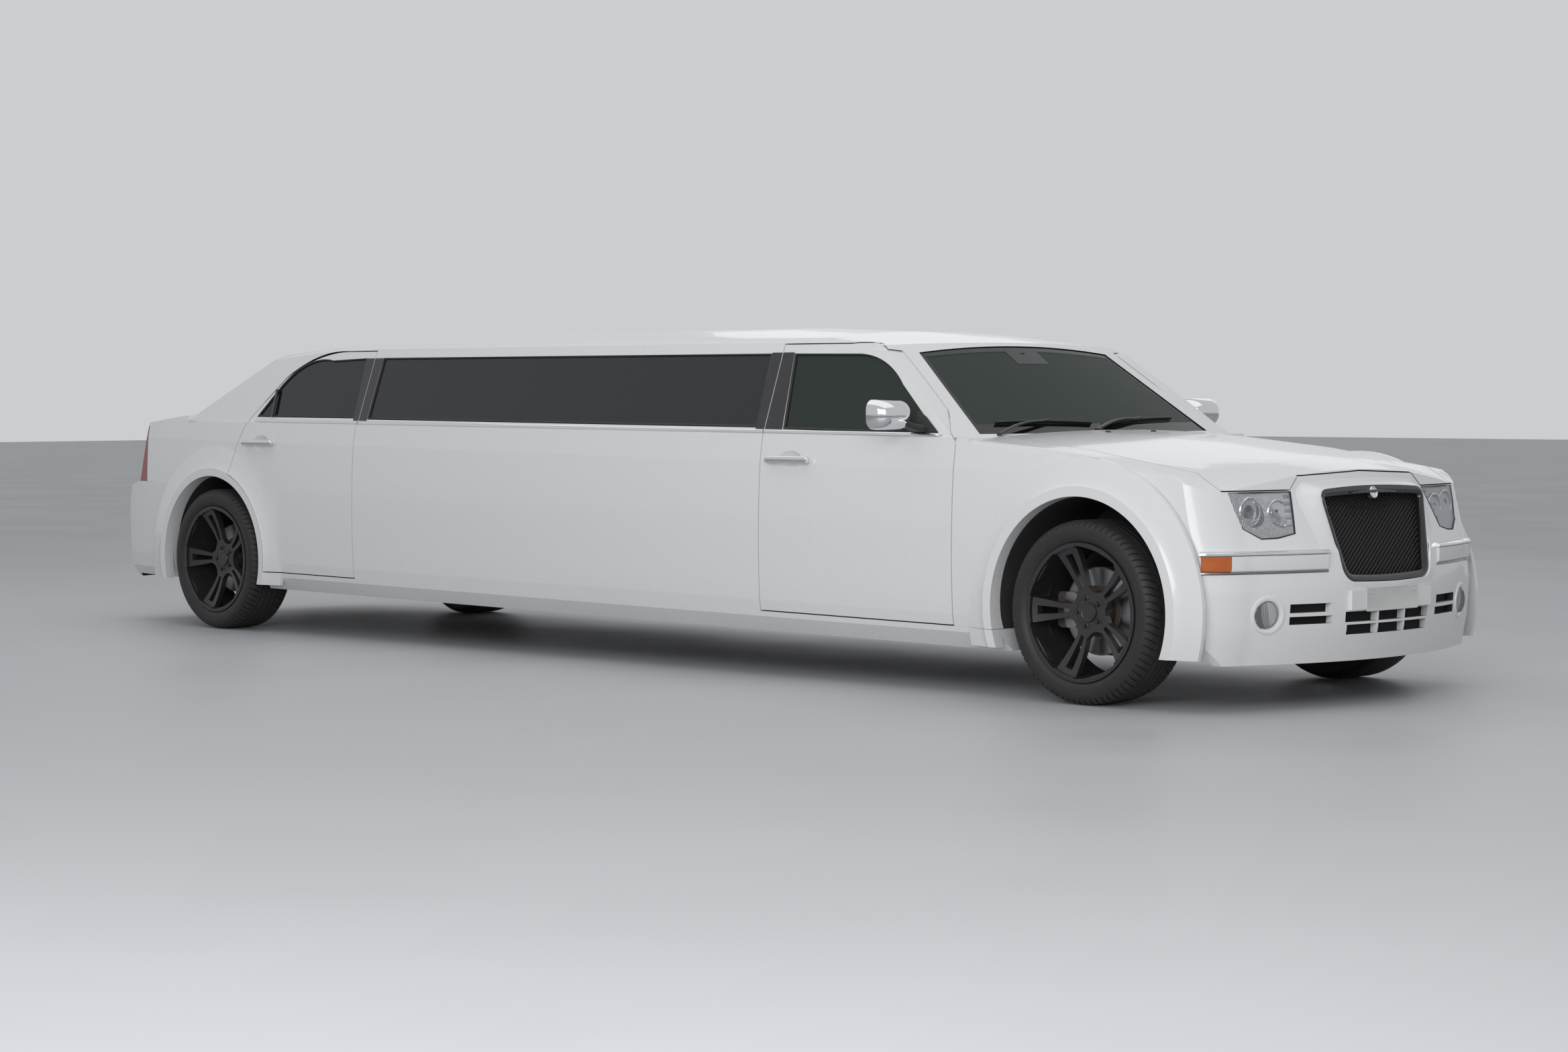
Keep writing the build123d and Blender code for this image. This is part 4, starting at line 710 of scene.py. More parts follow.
ALONG = Vector((1.0, 0.0, 0.0))
UP = Vector((0.0, 0.0, 1.0))
BAR_HALF, BAR_Y, BAR_BOW, BAR_SECTION = 0.1205, 0.9275, 0.0022, rounded(0.0085, 0.0145, 0.0065)
BAR_END = [(1.0, 1.0), (1.012, 0.97), (1.022, 0.88), (1.030, 0.70), (1.034, 0.45)]
FOOT_X, FOOT_SECTION = 0.102, rounded(0.0165, 0.0115, 0.005)
FOOT_STEPS = ((0.896, 1.18), (0.9035, 1.12), (0.908, 1.0), (0.924, 0.95))


def pull_handle(handle_x, handle_z, side):
    """A bar with rounded ends and a slightly bowed outer side, and its two feet."""
    spots = [(-at, scale) for at, scale in reversed(BAR_END)] + [(at / 10, 1.0) for at in range(-9, 10, 3)] + BAR_END
    path = []
    for at, scale in spots:
        y = side * (BAR_Y + BAR_BOW * (1 - min(at * at, 1.0)))
        path.append((Vector((handle_x + at * BAR_HALF, y, handle_z)), Vector((0.0, side, 0.0)), UP, scale))
    parts = [swept(path, BAR_SECTION)]
    for x in (handle_x - FOOT_X, handle_x + FOOT_X):
        foot = [(Vector((x, side * y, handle_z)), ALONG, UP, scale) for y, scale in FOOT_STEPS]
        parts.append(swept(foot, FOOT_SECTION))
    return joined(parts)


for end, (handle_x, handle_z) in HANDLES.items():
    for name, side in SIDES:
        handle = pull_handle(handle_x, handle_z, side)
        formed(f"pull_handle_{end}_{name}", handle, f"{end}_door_{name}", "chrome", bright)


# Door mirrors: a bright plated shell over a black moulded foot that is screwed to the corner of the window. Flat
# silvered glass is set into the shell's rear face.
moulded_black, surface, place = finish("moulded_black")
speck = place.noise(700.0, 2.0)
fade = place.noise(6.0, 3.0)
feed(surface, {
    "Base Color": fade.blend((0.018, 0.018, 0.019, 1), (0.030, 0.030, 0.031, 1)),
    "Roughness": fade.ramp(0.3, 0.7, 0.42, 0.55),
    "Normal": place.bump(speck, 0.0004, 0.5),
})
mirror_silver, surface, place = finish("mirror_silver")
breath = place.noise(11.0)
feed(surface, {"Base Color": (0.75, 0.77, 0.79, 1), "Metallic": 1.0, "Roughness": breath.ramp(0.35, 0.7, 0.01, 0.05)})

MIRROR_Z, MIRROR_Y = 1.116, 1.008
SHELL_REAR, SHELL_LEAN = -0.962, 0.08
# station, half width, half height and corner of each section of the shell, from its folded rim to its front
SHELL_SECTIONS = (
    (-0.9600, 0.086, 0.050, 0.030), (-0.9620, 0.092, 0.056, 0.036), (-0.9600, 0.097, 0.0605, 0.040),
    (-0.940, 0.098, 0.061, 0.042), (-0.915, 0.094, 0.058, 0.042), (-0.892, 0.084, 0.051, 0.040),
    (-0.876, 0.069, 0.041, 0.034), (-0.866, 0.049, 0.029, 0.026), (-0.8625, 0.024, 0.014, 0.013),
)
GLASS_EDGE = rounded(0.083, 0.047, 0.029, 6)
GLASS_RINGS = ((1.0, -0.9603), (0.97, -0.9618), (0.6, -0.9619), (0.2, -0.962))
# station, distance out, height and scale along the foot's arm
ARM_STEPS = ((-0.868, 0.878, 1.058, 1.0), (-0.872, 0.900, 1.060, 0.95), (-0.880, 0.925, 1.066, 0.85),
             (-0.892, 0.948, 1.076, 0.85), (-0.905, 0.968, 1.088, 1.0))
SAIL_CORNERS = ((-0.768, 1.042), (-0.905, 1.042), (-0.905, 1.132), (-0.852, 1.104))


def mirror_shell(side):
    """The plated shell, from the folded rim at its rear to its rounded front, leaned a little towards its foot."""
    rings = []
    for station, half_wide, half_tall, corner in SHELL_SECTIONS:
        drift = (station - SHELL_REAR) * SHELL_LEAN
        rings.append([(FRONT_AXLE + station, side * (MIRROR_Y - drift + a), MIRROR_Z - drift * 0.5 + b)
                      for a, b in rounded(half_wide, half_tall, corner, 6)])
    return ringed(rings)


def mirror_glass(side):
    """A slightly domed pane in the shell's rear."""
    return ringed([[(FRONT_AXLE + station, side * (MIRROR_Y + a * scale), MIRROR_Z + b * scale)
                    for a, b in GLASS_EDGE] for scale, station in GLASS_RINGS])


def mirror_foot(side):
    """The black arm from the window's corner to the shell, and the triangular cover that it stands on."""
    arm = [(Vector((FRONT_AXLE + station, side * y, z)), ALONG, UP, scale) for station, y, z, scale in ARM_STEPS]
    sail = slab(*[[on_side(FRONT_AXLE + s, z, out, side) for s, z in SAIL_CORNERS] for out in (0.0005, 0.0065)])
    bmesh.ops.bevel(sail, geom=list(sail.edges), offset=0.0015, segments=2, affect="EDGES")
    bmesh.ops.recalc_face_normals(sail, faces=sail.faces)
    return joined([swept(arm, rounded(0.034, 0.015, 0.012)), sail])


for name, side in SIDES:
    body = f"front_door_{name}"
    shell = formed(f"mirror_shell_{name}", mirror_shell(side), body, "chrome", bright)
    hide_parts(f"mirror_{name}")
    formed(f"mirror_glass_{name}", mirror_glass(side), body, "chrome", mirror_silver)
    formed(f"mirror_foot_{name}", mirror_foot(side), body, "trim", moulded_black)


# Wheels: one-piece cast rims with five split spokes, in satin black, each with five wheel bolts and a plain round
# cap. The vented iron brake disc shows between the spokes.
WHEEL_Y, HUB_Z = 0.8005, 0.357
WHEELS = [(f"{end}_{name}", axle, side)
          for end, axle in (("front", FRONT_AXLE), ("rear", REAR_AXLE)) for name, side in SIDES]


def from_hub(place):
    """How far a place is from its wheel's axle, and from the car's middle line."""
    x, y, z = place.axes()
    ahead = x - ((x > 0.0) * (FRONT_AXLE - REAR_AXLE) + REAR_AXLE)
    above = z - HUB_Z
    squared = ahead * ahead + above * above
    return squared.sum_of("SQRT", squared), abs(y)


satin_black, surface, place = finish("satin_black")
brake_dust = place.noise(26.0, 4.0) * from_hub(place)[1].ramp(0.80, 0.90, 0.9, 0.1)
feed(surface, {
    "Base Color": brake_dust.blend((0.016, 0.016, 0.017, 1), (0.045, 0.042, 0.040, 1)),
    "Roughness": place.noise(40.0).ramp(0.3, 0.7, 0.33, 0.45),
    "Coat Weight": 0.25,
    "Coat Roughness": 0.25,
    "Normal": place.bump(place.noise(520.0, 2.0), 0.00025, 0.35),
})
disc_iron, surface, place = finish("disc_iron")
radius = from_hub(place)[0]
turning = (radius * 2600.0).sine()
polish = radius.ramp(0.100, 0.106, 0.0, 1.0) * radius.ramp(0.166, 0.169, 1.0, 0.0)
feed(surface, {
    "Base Color": polish.blend((0.11, 0.085, 0.07, 1), (0.34, 0.34, 0.35, 1)),
    "Metallic": polish.ramp(0.0, 1.0, 0.55, 1.0),
    "Roughness": polish.ramp(0.0, 1.0, 0.62, 0.30),
    "Normal": place.bump(turning, 0.00005, 0.6),
})
DISC_IN, DISC_OUT, DISC_HUB, DISC_REACH = -0.0285, -0.0055, 0.079, 0.1735
BOLT_CIRCLE, BOLT_COUNT, HUB_FACE = 0.0570, 5, 0.0582


def ring_tree():
    """Copies of a piece set round the wheel's axle; the seed is not needed, since nothing in it is random."""
    tree = bpy.data.node_groups.new("set_round_axle", "GeometryNodeTree")
    for name, kind in (("Piece", "Geometry"), ("Count", "Int"), ("Start Angle", "Float"), ("Finish", "Material")):
        tree.interface.new_socket(name, in_out="INPUT", socket_type=f"NodeSocket{kind}")
    tree.interface.new_socket("Ring", in_out="OUTPUT", socket_type="NodeSocketGeometry")
    given = tree.nodes.new("NodeGroupInput").outputs
    piece, count, start, material = [Reading(tree, socket) for socket in list(given)[:4]]
    points = piece.node("GeometryNodePoints", inputs={"Count": count})
    turn = piece.node("GeometryNodeInputIndex") * (2 * math.pi) / count + start
    rotation = piece.node("ShaderNodeCombineXYZ", inputs={"Y": turn})
    close(tree, piece, {"Points": points, "Instance": piece, "Rotation": rotation}, material, "Ring")
    return tree


def close(tree, piece, spread, material, name):
    """Ends a tree: copies of a piece on points, made real and given their finish."""
    copies = piece.node("GeometryNodeInstanceOnPoints", inputs=spread)
    real = piece.node("GeometryNodeRealizeInstances", inputs={"Geometry": copies})
    dressed = piece.node("GeometryNodeSetMaterial", inputs={"Geometry": real, "Material": material})
    tree.links.new(dressed.socket, tree.nodes.new("NodeGroupOutput").inputs[name])


def grown(mesh, tree, values):
    """A mesh after a node tree, with the tree's inputs given by name."""
    worker = bpy.data.objects.new("worker", mesh)
    bpy.context.collection.objects.link(worker)
    modifier = worker.modifiers.new("grown", "NODES")
    modifier.node_group = tree
    for item in tree.interface.items_tree:
        if item.in_out == "INPUT" and item.name in values:
            modifier[item.identifier] = values[item.name]
    result = bpy.data.meshes.new_from_object(worker.evaluated_get(bpy.context.evaluated_depsgraph_get()))
    bpy.data.objects.remove(worker)
    return result


ROUND_AXLE = ring_tree()


def turned_at(centre, axis, profile, steps=48, closed=False):
    """Rings turned about an axis through a centre, from a profile of radius and distance along the axis."""
    u = axis.cross(UP).normalized()
    v = axis.cross(u)
    turns = [2 * math.pi * k / steps for k in range(steps)]
    return ringed([[centre + axis * out + (u * math.cos(t) + v * math.sin(t)) * r for t in turns]
                   for r, out in profile], closed)


# radius, distance out of the hub's face, and whether the ring has six sides
BOLT_RINGS = ((0.0125, -0.002, False), (0.0125, 0.001, False), (0.0100, 0.003, False), (0.0090, 0.003, True),
              (0.0090, 0.0125, True), (0.0078, 0.0140, True), (0.0050, 0.0140, True), (0.0040, 0.0125, True))
CAP_RINGS = ((0.0385, -0.001), (0.0385, 0.006), (0.0365, 0.009), (0.0335, 0.0095), (0.0305, 0.0075),
             (0.0150, 0.0068), (0.004, 0.0066))
ACROSS = Vector((0.0, 1.0, 0.0))


def wheel_bolt():
    """One wheel bolt about the axle's own centre: a conical seat and a hexagon head with a dished end."""
    rings = []
    for radius, out, six_sided in BOLT_RINGS:
        ring = []
        for k in range(24):
            flat = math.cos(math.pi / 6) / math.cos((k % 4 - 2) * math.pi / 12) if six_sided else 1.0
            angle = 2 * math.pi * k / 24
            ring.append((BOLT_CIRCLE + radius * flat * math.cos(angle), HUB_FACE + out,
                         radius * flat * math.sin(angle)))
        rings.append(ring)
    return kept(ringed(rings), "wheel_bolt")


def at_wheel(mesh, axle, side):
    """A mesh drawn about a left wheel's hub, put on one wheel."""
    shell = opened(mesh)
    for vert in shell.verts:
        vert.co = (vert.co.x + axle, side * (vert.co.y + WHEEL_Y), vert.co.z + HUB_Z)
    if side < 0:
        bmesh.ops.reverse_faces(shell, faces=shell.faces)
    return shell


SPOKE_ANGLE = math.radians(36)
bolts = grown(wheel_bolt(), ROUND_AXLE, {"Count": BOLT_COUNT, "Start Angle": SPOKE_ANGLE, "Finish": satin_black})
cap = shaded(turned_at(ACROSS * HUB_FACE, ACROSS, CAP_RINGS), "wheel_cap")


def on_disc(face, axle):
    """True for a face of the brake disc, which stands behind the spokes of the wheel on an axle."""
    spots = [(abs(vert.co.y) - WHEEL_Y, math.hypot(vert.co.x - axle, vert.co.z - HUB_Z)) for vert in face.verts]
    return all(DISC_IN < y < DISC_OUT and DISC_HUB < reach < DISC_REACH for y, reach in spots)


for wheel, axle, side in WHEELS:
    rim = parted(merged(f"rim_{wheel}"), lambda face: on_disc(face, axle))
    stand_in(f"rim_{wheel}", "cast", rim, "rim", satin_black, disc_iron)
    fittings = joined([at_wheel(bolts, axle, side), at_wheel(cap, axle, side)])
    formed(f"wheel_bolts_{wheel}", fittings, f"wheel_{wheel}", "rim", satin_black)


# Tyres: low road tyres with four grooves round the tread and slanted cross grooves in the shoulders. The side walls
# carry plain moulded ribs.
tyre_rubber, surface, place = finish("tyre_rubber")
radius = from_hub(place)[0]
ribs = (radius * 1900.0).sine() * radius.ramp(0.284, 0.287, 0.0, 1.0) * radius.ramp(0.312, 0.315, 1.0, 0.0)
dust = place.noise(45.0, 4.0) * radius.ramp(0.335, 0.356, 0.35, 1.0)
feed(surface, {
    "Base Color": dust.blend((0.012, 0.012, 0.0125, 1), (0.050, 0.048, 0.046, 1)),
    "Roughness": dust.ramp(0.2, 0.7, 0.55, 0.80),
    "Normal": place.bump(ribs * 0.4 + place.noise(600.0, 2.0) * 0.25, 0.0006, 0.6),
})
TYRE_REACH, PITCHES, GROOVE_DEEP, RAIN_GROOVE_DEEP = 0.357, 76, 0.0065, 0.008
SLANT, SLANT_FROM = 1.1, 0.05
# radius and distance from the tyre's middle, from the bead over the side wall to the tread's shoulder
WALL = [(0.2625, 0.1085), (0.2700, 0.1100), (0.2760, 0.1160), (0.2840, 0.1215), (0.2880, 0.1232),
        (0.2915, 0.1252), (0.2960, 0.1258), (0.3120, 0.1272), (0.3230, 0.1262), (0.3330, 0.1232)]
TREAD = [(0.3400, 0.1192), (0.3465, 0.1120), (0.3530, 0.1033), (0.3560, 0.0920), (0.3570, 0.0800), (0.3570, 0.0530)]
GROOVES = [(0.0515, 0.0445), (0.0195, 0.0125)]
# share of the pitch, and whether the cross groove is cut there
PITCH_STEPS = ((0.0, 0), (0.05, 0), (0.08, 1), (0.24, 1), (0.27, 0), (0.65, 0), (1.0, 0))


def tyre_pitch():
    """One pitch of the tyre round the axle, from bead to bead."""
    right = WALL + TREAD
    for outer, inner in GROOVES:
        foot = TYRE_REACH - RAIN_GROOVE_DEEP
        right += [(TYRE_REACH, outer), (foot, outer - 0.001), (foot, inner + 0.001), (TYRE_REACH, inner)]
    profile = [(r, y, k) for k, (r, y) in enumerate(right)]
    profile += [(r, -y, k) for r, y, k in reversed(profile)]
    first, last = len(WALL), len(WALL) + len(TREAD) - 2
    columns = []
    for share, sunk in PITCH_STEPS:
        column = []
        for r, y, k in profile:
            deep = GROOVE_DEEP * (0.6 if k == first else 1.0) if sunk and first <= k <= last else 0.0
            reach = max(abs(y) if k >= first else TREAD[0][1], SLANT_FROM) - SLANT_FROM
            angle = 2 * math.pi / PITCHES * share + SLANT * math.copysign(reach, y)
            column.append(((r - deep) * math.cos(angle), y, (r - deep) * math.sin(angle)))
        columns.append(column)
    return kept(ringed(columns, ends=False), "tyre_pitch")


shell = opened(grown(tyre_pitch(), ROUND_AXLE, {"Count": PITCHES, "Start Angle": 0.0, "Finish": tyre_rubber}))
bmesh.ops.remove_doubles(shell, verts=shell.verts, dist=0.0001)
bmesh.ops.recalc_face_normals(shell, faces=shell.faces)
tyre = kept(shell, "tyre")
for wheel, axle, side in WHEELS:
    stand_in(f"tyre_{wheel}", "moulded", at_wheel(tyre, axle, side), "tyre", tyre_rubber)


# Grille: a gloss black frame with rounded corners on a leaning plane, in a painted surround that swells out of the
# nose. Inside it is a mesh of crossing wires; the place of the maker's ornament has a plain bar and boss.
GRILLE_FOOT, GRILLE_HEAD = Vector((FRONT_AXLE + 0.782, 0.0, 0.470)), Vector((FRONT_AXLE + 0.694, 0.0, 0.842))
GRILLE_TALL = (GRILLE_HEAD - GRILLE_FOOT).length
GRILLE_UP = (GRILLE_HEAD - GRILLE_FOOT).normalized()
GRILLE_OUT = Vector((GRILLE_UP.z, 0.0, -GRILLE_UP.x))
HALF_FOOT, HALF_HEAD = 0.276, 0.344
FOOT_BOW, HEAD_BOW = 0.014, 0.014
CORNERS = ((-1, 0, 0.070), (1, 0, 0.070), (1, 1, 0.040), (-1, 1, 0.040))


def on_grille(across, up, out):
    """A point by its place on the grille's leaning plane."""
    return GRILLE_FOOT + Vector((0.0, across, 0.0)) + GRILLE_UP * up + GRILLE_OUT * out


def grille_line(inset):
    """The grille's outline with rounded corners, always with the same number of points."""
    low, high = FOOT_BOW + inset, GRILLE_TALL - HEAD_BOW - inset
    corners = []
    for side, top, radius in CORNERS:
        half = (HALF_HEAD if top else HALF_FOOT) - inset
        corners.append((Vector((side * half, high if top else low)), max(radius - inset, 0.012)))
    arcs = []
    for k, (corner, radius) in enumerate(corners):
        back, on = (corners[k - 1][0] - corner).normalized(), (corners[(k + 1) % 4][0] - corner).normalized()
        reach = radius / math.tan(math.acos(back.dot(on)) / 2)
        arcs.append((corner + back * reach, corner, corner + on * reach))
    line = []
    for (start, corner, end), (following, _, _) in zip(arcs, arcs[1:] + arcs[:1]):
        line += [start * (1 - t) ** 2 + corner * 2 * t * (1 - t) + end * t ** 2 for t in (k / 8 for k in range(9))]
        line += [end.lerp(following, k / 12) for k in range(1, 12)]
    bowed = []
    for point in line:
        t = point.y / GRILLE_TALL
        half = HALF_FOOT + (HALF_HEAD - HALF_FOOT) * t
        bow = 1 - min((point.x / half) ** 2, 1.0)
        bowed.append((point.x, point.y + bow * (HEAD_BOW * t - FOOT_BOW * (1 - t))))
    return bowed


# distance in from the outline, and distance out of the plane
FRAME_SECTION = ((-0.001, -0.034), (0.0005, 0.0035), (0.0035, 0.0065), (0.010, 0.0080), (0.020, 0.0060),
                 (0.027, 0.0010), (0.030, -0.006), (0.031, -0.014), (0.030, -0.034))
rings = [[on_grille(a, b, out) for a, b in grille_line(inset)] for inset, out in FRAME_SECTION]
grille_frame = formed("grille_frame", ringed(rings, closed=True), "body", "grille_black", gloss_black)
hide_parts("grille")

# height, how far forward the nose is in its middle, and how far it has fallen back at its corner
NOSE_ROWS = ((0.300, 0.795, 0.145), (0.450, 0.806, 0.145), (0.600, 0.788, 0.145), (0.660, 0.757, 0.135),
             (0.828, 0.664, 0.084), (0.910, 0.640, 0.084), (1.140, 0.550, 0.084))
NOSE_CORNER = 0.700


def nose_x(y, z):
    """How far forward the nose's skin is at a distance out and a height, from the rows of its table."""
    reaches = []
    for (low_z, *low), (high_z, *high) in zip(NOSE_ROWS, NOSE_ROWS[1:]):
        if low_z <= z <= high_z:
            for tip, fall in (low, high):
                bend = (NOSE_CORNER ** 2 + fall ** 2) / (2 * fall)
                reaches.append(tip - bend + math.sqrt(bend ** 2 - y ** 2))
            share = (z - low_z) / (high_z - low_z)
            return FRONT_AXLE + reaches[0] * (1 - share) + reaches[1] * share
    raise ValueError(f"height {z} is outside the nose's rows")


SWELL_SIDE, SWELL_TOP, SWELL_FOOT, SWELL_STEPS = 0.080, 0.032, 0.020, 14
inner, outer = grille_line(0.0), grille_line(-0.05)
rings = [[on_grille(a, b, out) for a, b in grille_line(inset)]
         for inset, out in ((0.002, -0.03), (0.001, 0.001), (-0.001, 0.0055))]
for step in range(1, SWELL_STEPS + 1):
    t = step / SWELL_STEPS
    ring = []
    for (a, b), (far_a, far_b) in zip(inner, outer):
        way = Vector((far_a - a, far_b - b)).normalized()
        upright = SWELL_TOP if way.y > 0 else SWELL_FOOT
        width = upright + (SWELL_SIDE - upright) * way.x ** 2
        start = on_grille(a, b, 0.0058)
        spot = on_grille(a + way.x * width * t, b + way.y * width * t, 0.0)
        proud = max(start.x - nose_x(start.y, start.z), 0.004)
        ease = t * t * (3 - 2 * t)
        spot.x = nose_x(spot.y, spot.z) + proud * (1 - ease) - (0.003 if step == SWELL_STEPS else -0.0008)
        spot.x = min(spot.x, cad_box[1][0] - 0.0003)
        ring.append(spot)
    rings.append(ring)
formed("grille_surround", ringed(rings, ends=False), "body", "paint", white_paint)

PITCH_ACROSS, PITCH_UP, WIRE = 0.0130, 0.0095, 0.0014
GRID_COLUMNS, GRID_ROWS, GRID_START = 56, 41, 100.5
wire_black, surface, place = finish("wire_black")
glint = place.noise(60.0)
feed(surface, {
    "Base Color": glint.blend((0.035, 0.035, 0.037, 1), (0.075, 0.075, 0.078, 1)),
    "Metallic": 0.7,
    "Roughness": glint.ramp(0.3, 0.7, 0.22, 0.36),
})


def mesh_tree():
    """Wire crossings set over the grille's field, on every second point of a grid; nothing in it is random."""
    tree = bpy.data.node_groups.new("grille_mesh", "GeometryNodeTree")
    for name, kind in (("Crossing", "Geometry"), ("Pitch Across", "Float"), ("Pitch Up", "Float"),
                       ("Half Foot", "Float"), ("Half Head", "Float"), ("Tall", "Float"), ("Finish", "Material")):
        tree.interface.new_socket(name, in_out="INPUT", socket_type=f"NodeSocket{kind}")
    tree.interface.new_socket("Mesh", in_out="OUTPUT", socket_type="NodeSocketGeometry")
    given = tree.nodes.new("NodeGroupInput").outputs
    crossing, across, up, foot, head, tall, material = [Reading(tree, socket) for socket in list(given)[:7]]
    grid = crossing.node("GeometryNodeMeshGrid", inputs={
        "Size X": across * (GRID_COLUMNS - 1), "Size Y": up * (GRID_ROWS - 1),
        "Vertices X": GRID_COLUMNS, "Vertices Y": GRID_ROWS})
    x, y = crossing.node("GeometryNodeInputPosition").axes()[:2]
    column, row = [at.sum_of("FLOOR", at) for at in (x / across + GRID_START, y / up + GRID_START)]
    odd = (column + row) % 2.0 > 0.5
    beyond = (abs(x) > foot + (head - foot) * (y / tall + 0.5)) + (abs(y) > tall * 0.5)
    selection = {"Geometry": grid, "Selection": odd + beyond > 0.5}
    points = crossing.node("GeometryNodeDeleteGeometry", {"domain": "POINT"}, selection)
    close(tree, crossing, {"Points": points, "Instance": crossing}, material, "Mesh")
    return tree


def wire_crossing():
    """Two short wires that cross, one over the other."""
    parts = []
    for lean, height in ((1, 0.0008), (-1, -0.0008)):
        along = Vector((PITCH_ACROSS / 2, lean * PITCH_UP / 2, 0.0))
        side_way = Vector((-along.y, along.x, 0.0)).normalized()
        path = [(along * t + UP * (height * (1 - abs(t))), side_way, UP, 1.0) for t in (-1.02, 0.0, 1.02)]
        parts.append(swept(path, [(WIRE, 0.0), (0.0, WIRE), (-WIRE, 0.0), (0.0, -WIRE)]))
    return shaded(joined(parts), "wire_crossing")


MESH_IN, MESH_ENDS, MESH_BACK, SHEET_FACE, SHEET_BACK = 0.026, 0.028, 0.018, -0.033, -0.037
wires = grown(wire_crossing(), mesh_tree(), {
    "Pitch Across": PITCH_ACROSS, "Pitch Up": PITCH_UP, "Half Foot": HALF_FOOT - MESH_IN,
    "Half Head": HALF_HEAD - MESH_IN, "Tall": GRILLE_TALL - 2 * MESH_ENDS, "Finish": wire_black})
for vert in wires.vertices:
    vert.co = on_grille(vert.co.x, vert.co.y + GRILLE_TALL / 2, vert.co.z - MESH_BACK)
placed("grille_mesh", wires, "body", ())

radiator_black, surface, place = finish("radiator_black")
fins = (place.axes()[2] * 1570.0).sine()
feed(surface, {
    "Base Color": place.noise(30.0).blend((0.004, 0.004, 0.004, 1), (0.012, 0.012, 0.012, 1)),
    "Roughness": fins.ramp(-1.0, 1.0, 0.75, 0.9),
    "Normal": place.bump(fins, 0.002, 0.6),
})
sheet = ringed([[on_grille(a, b, out) for a, b in grille_line(0.004)] for out in (SHEET_BACK, SHEET_FACE)])
formed("grille_back", sheet, "body", "grille_black", radiator_black)

BOSS_UP, BAR_REACH = GRILLE_TALL - 0.030, 0.150
BAR_SCALES = ((-1.0, 0.2), (-0.96, 0.5), (-0.6, 0.8), (-0.2, 1.0), (0.2, 1.0), (0.6, 0.8), (0.96, 0.5), (1.0, 0.2))
BOSS_RINGS = ((0.024, -0.006), (0.024, 0.010), (0.0225, 0.0125), (0.0195, 0.0130), (0.0175, 0.0105),
              (0.0100, 0.0112), (0.002, 0.0114))
bar = [(on_grille(a * BAR_REACH, BOSS_UP + 0.004 - 0.005 * a * a, 0.0085), GRILLE_OUT, GRILLE_UP, scale)
       for a, scale in BAR_SCALES]
formed("ornament_bar", swept(bar, rounded(0.0045, 0.0065, 0.003)), "body", "grille_black", gloss_black)
boss = turned_at(on_grille(0.0, BOSS_UP, 0.0), GRILLE_OUT, BOSS_RINGS, 40)
formed("ornament_boss", boss, "body", "chrome", bright)


# Headlamps: a clear moulded lens over a bright housing with two round reflectors, and a ribbed indicator beside the
# grille. A rubber seal runs round the lens.
lamp_lens, surface, place = finish("lamp_lens")
film = place.noise(12.0)
feed(surface, {
    "Base Color": (0.90, 0.92, 0.94, 1),
    "Roughness": film.ramp(0.3, 0.7, 0.01, 0.03),
    "Alpha": (place.glancing(1.45) * 0.9 + 0.07).least(1.0),
})
coated("headlamp_lenses", lamp_lens)
housing_chrome, surface, place = finish("housing_chrome")
flutes = (abs(place.axes()[1]) * 900.0).sine()
feed(surface, {
    "Base Color": flutes.ramp(-1.0, 1.0).blend((0.16, 0.16, 0.17, 1), (0.42, 0.42, 0.44, 1)),
    "Metallic": 1.0,
    "Roughness": flutes.ramp(-1.0, 1.0, 0.20, 0.12),
    "Normal": place.bump(flutes, 0.0015, 0.8),
})
coated("headlamp_housings", housing_chrome)
bulb_glass, surface, place = finish("bulb_glass")
feed(surface, {
    "Base Color": place.noise(20.0).blend((0.02, 0.025, 0.03, 1), (0.04, 0.045, 0.05, 1)),
    "Roughness": 0.03,
    "Alpha": place.glancing(1.5).ramp(0.0, 0.5, 0.55, 1.0),
})
# distance out, height, radius of the reflector and radius of its bulb
REFLECTORS = ((0.520, 0.745, 0.0500, 0.022), (0.642, 0.752, 0.0535, 0.030))
BOWL_LIP = ((0.0035, -0.012), (0.0035, 0.000), (0.001, 0.0025), (-0.002, 0.001))
BOWL_SHARES, BOWL_DEEP = (0.94, 0.85, 0.72, 0.56, 0.38, 0.2), 0.055
# share of the bulb's radius, and distance out
BULB_HOLDER = ((0.62, -0.052), (0.62, -0.022), (0.9, -0.016), (0.95, -0.012), (0.8, -0.009), (0.3, -0.0075))
BULB_DOME = ((0.9, -0.0145), (0.88, -0.006), (0.6, 0.001), (0.2, 0.0035))
RIB_COUNT, RIB_FOOT, RIB_PITCH, RIB_LONG = 5, 0.700, 0.026, 0.028
LAMP_INNER_Y, LAMP_TOP, LAMP_SLOPE = 0.4375, 0.826, 0.291
LAMP_LINE = ((0.431, 0.826), (0.477, 0.668), (0.560, 0.652), (0.633, 0.650), (0.700, 0.690), (0.722, 0.760),
             (0.735, 0.826))
LAMP_SEAL = [(-0.004, -0.0015), (0.0018, -0.001), (0.0018, 0.003), (-0.004, 0.004)]


def reflector(radius):
    """The profile of a reflector's bowl, with a rolled lip and a closed back."""
    bowl = [(radius + wider, out) for wider, out in BOWL_LIP]
    bowl += [(radius * share, -BOWL_DEEP * (1 - share * share)) for share in BOWL_SHARES]
    return bowl + [(radius * 0.18, -0.062), (radius, -0.058)]


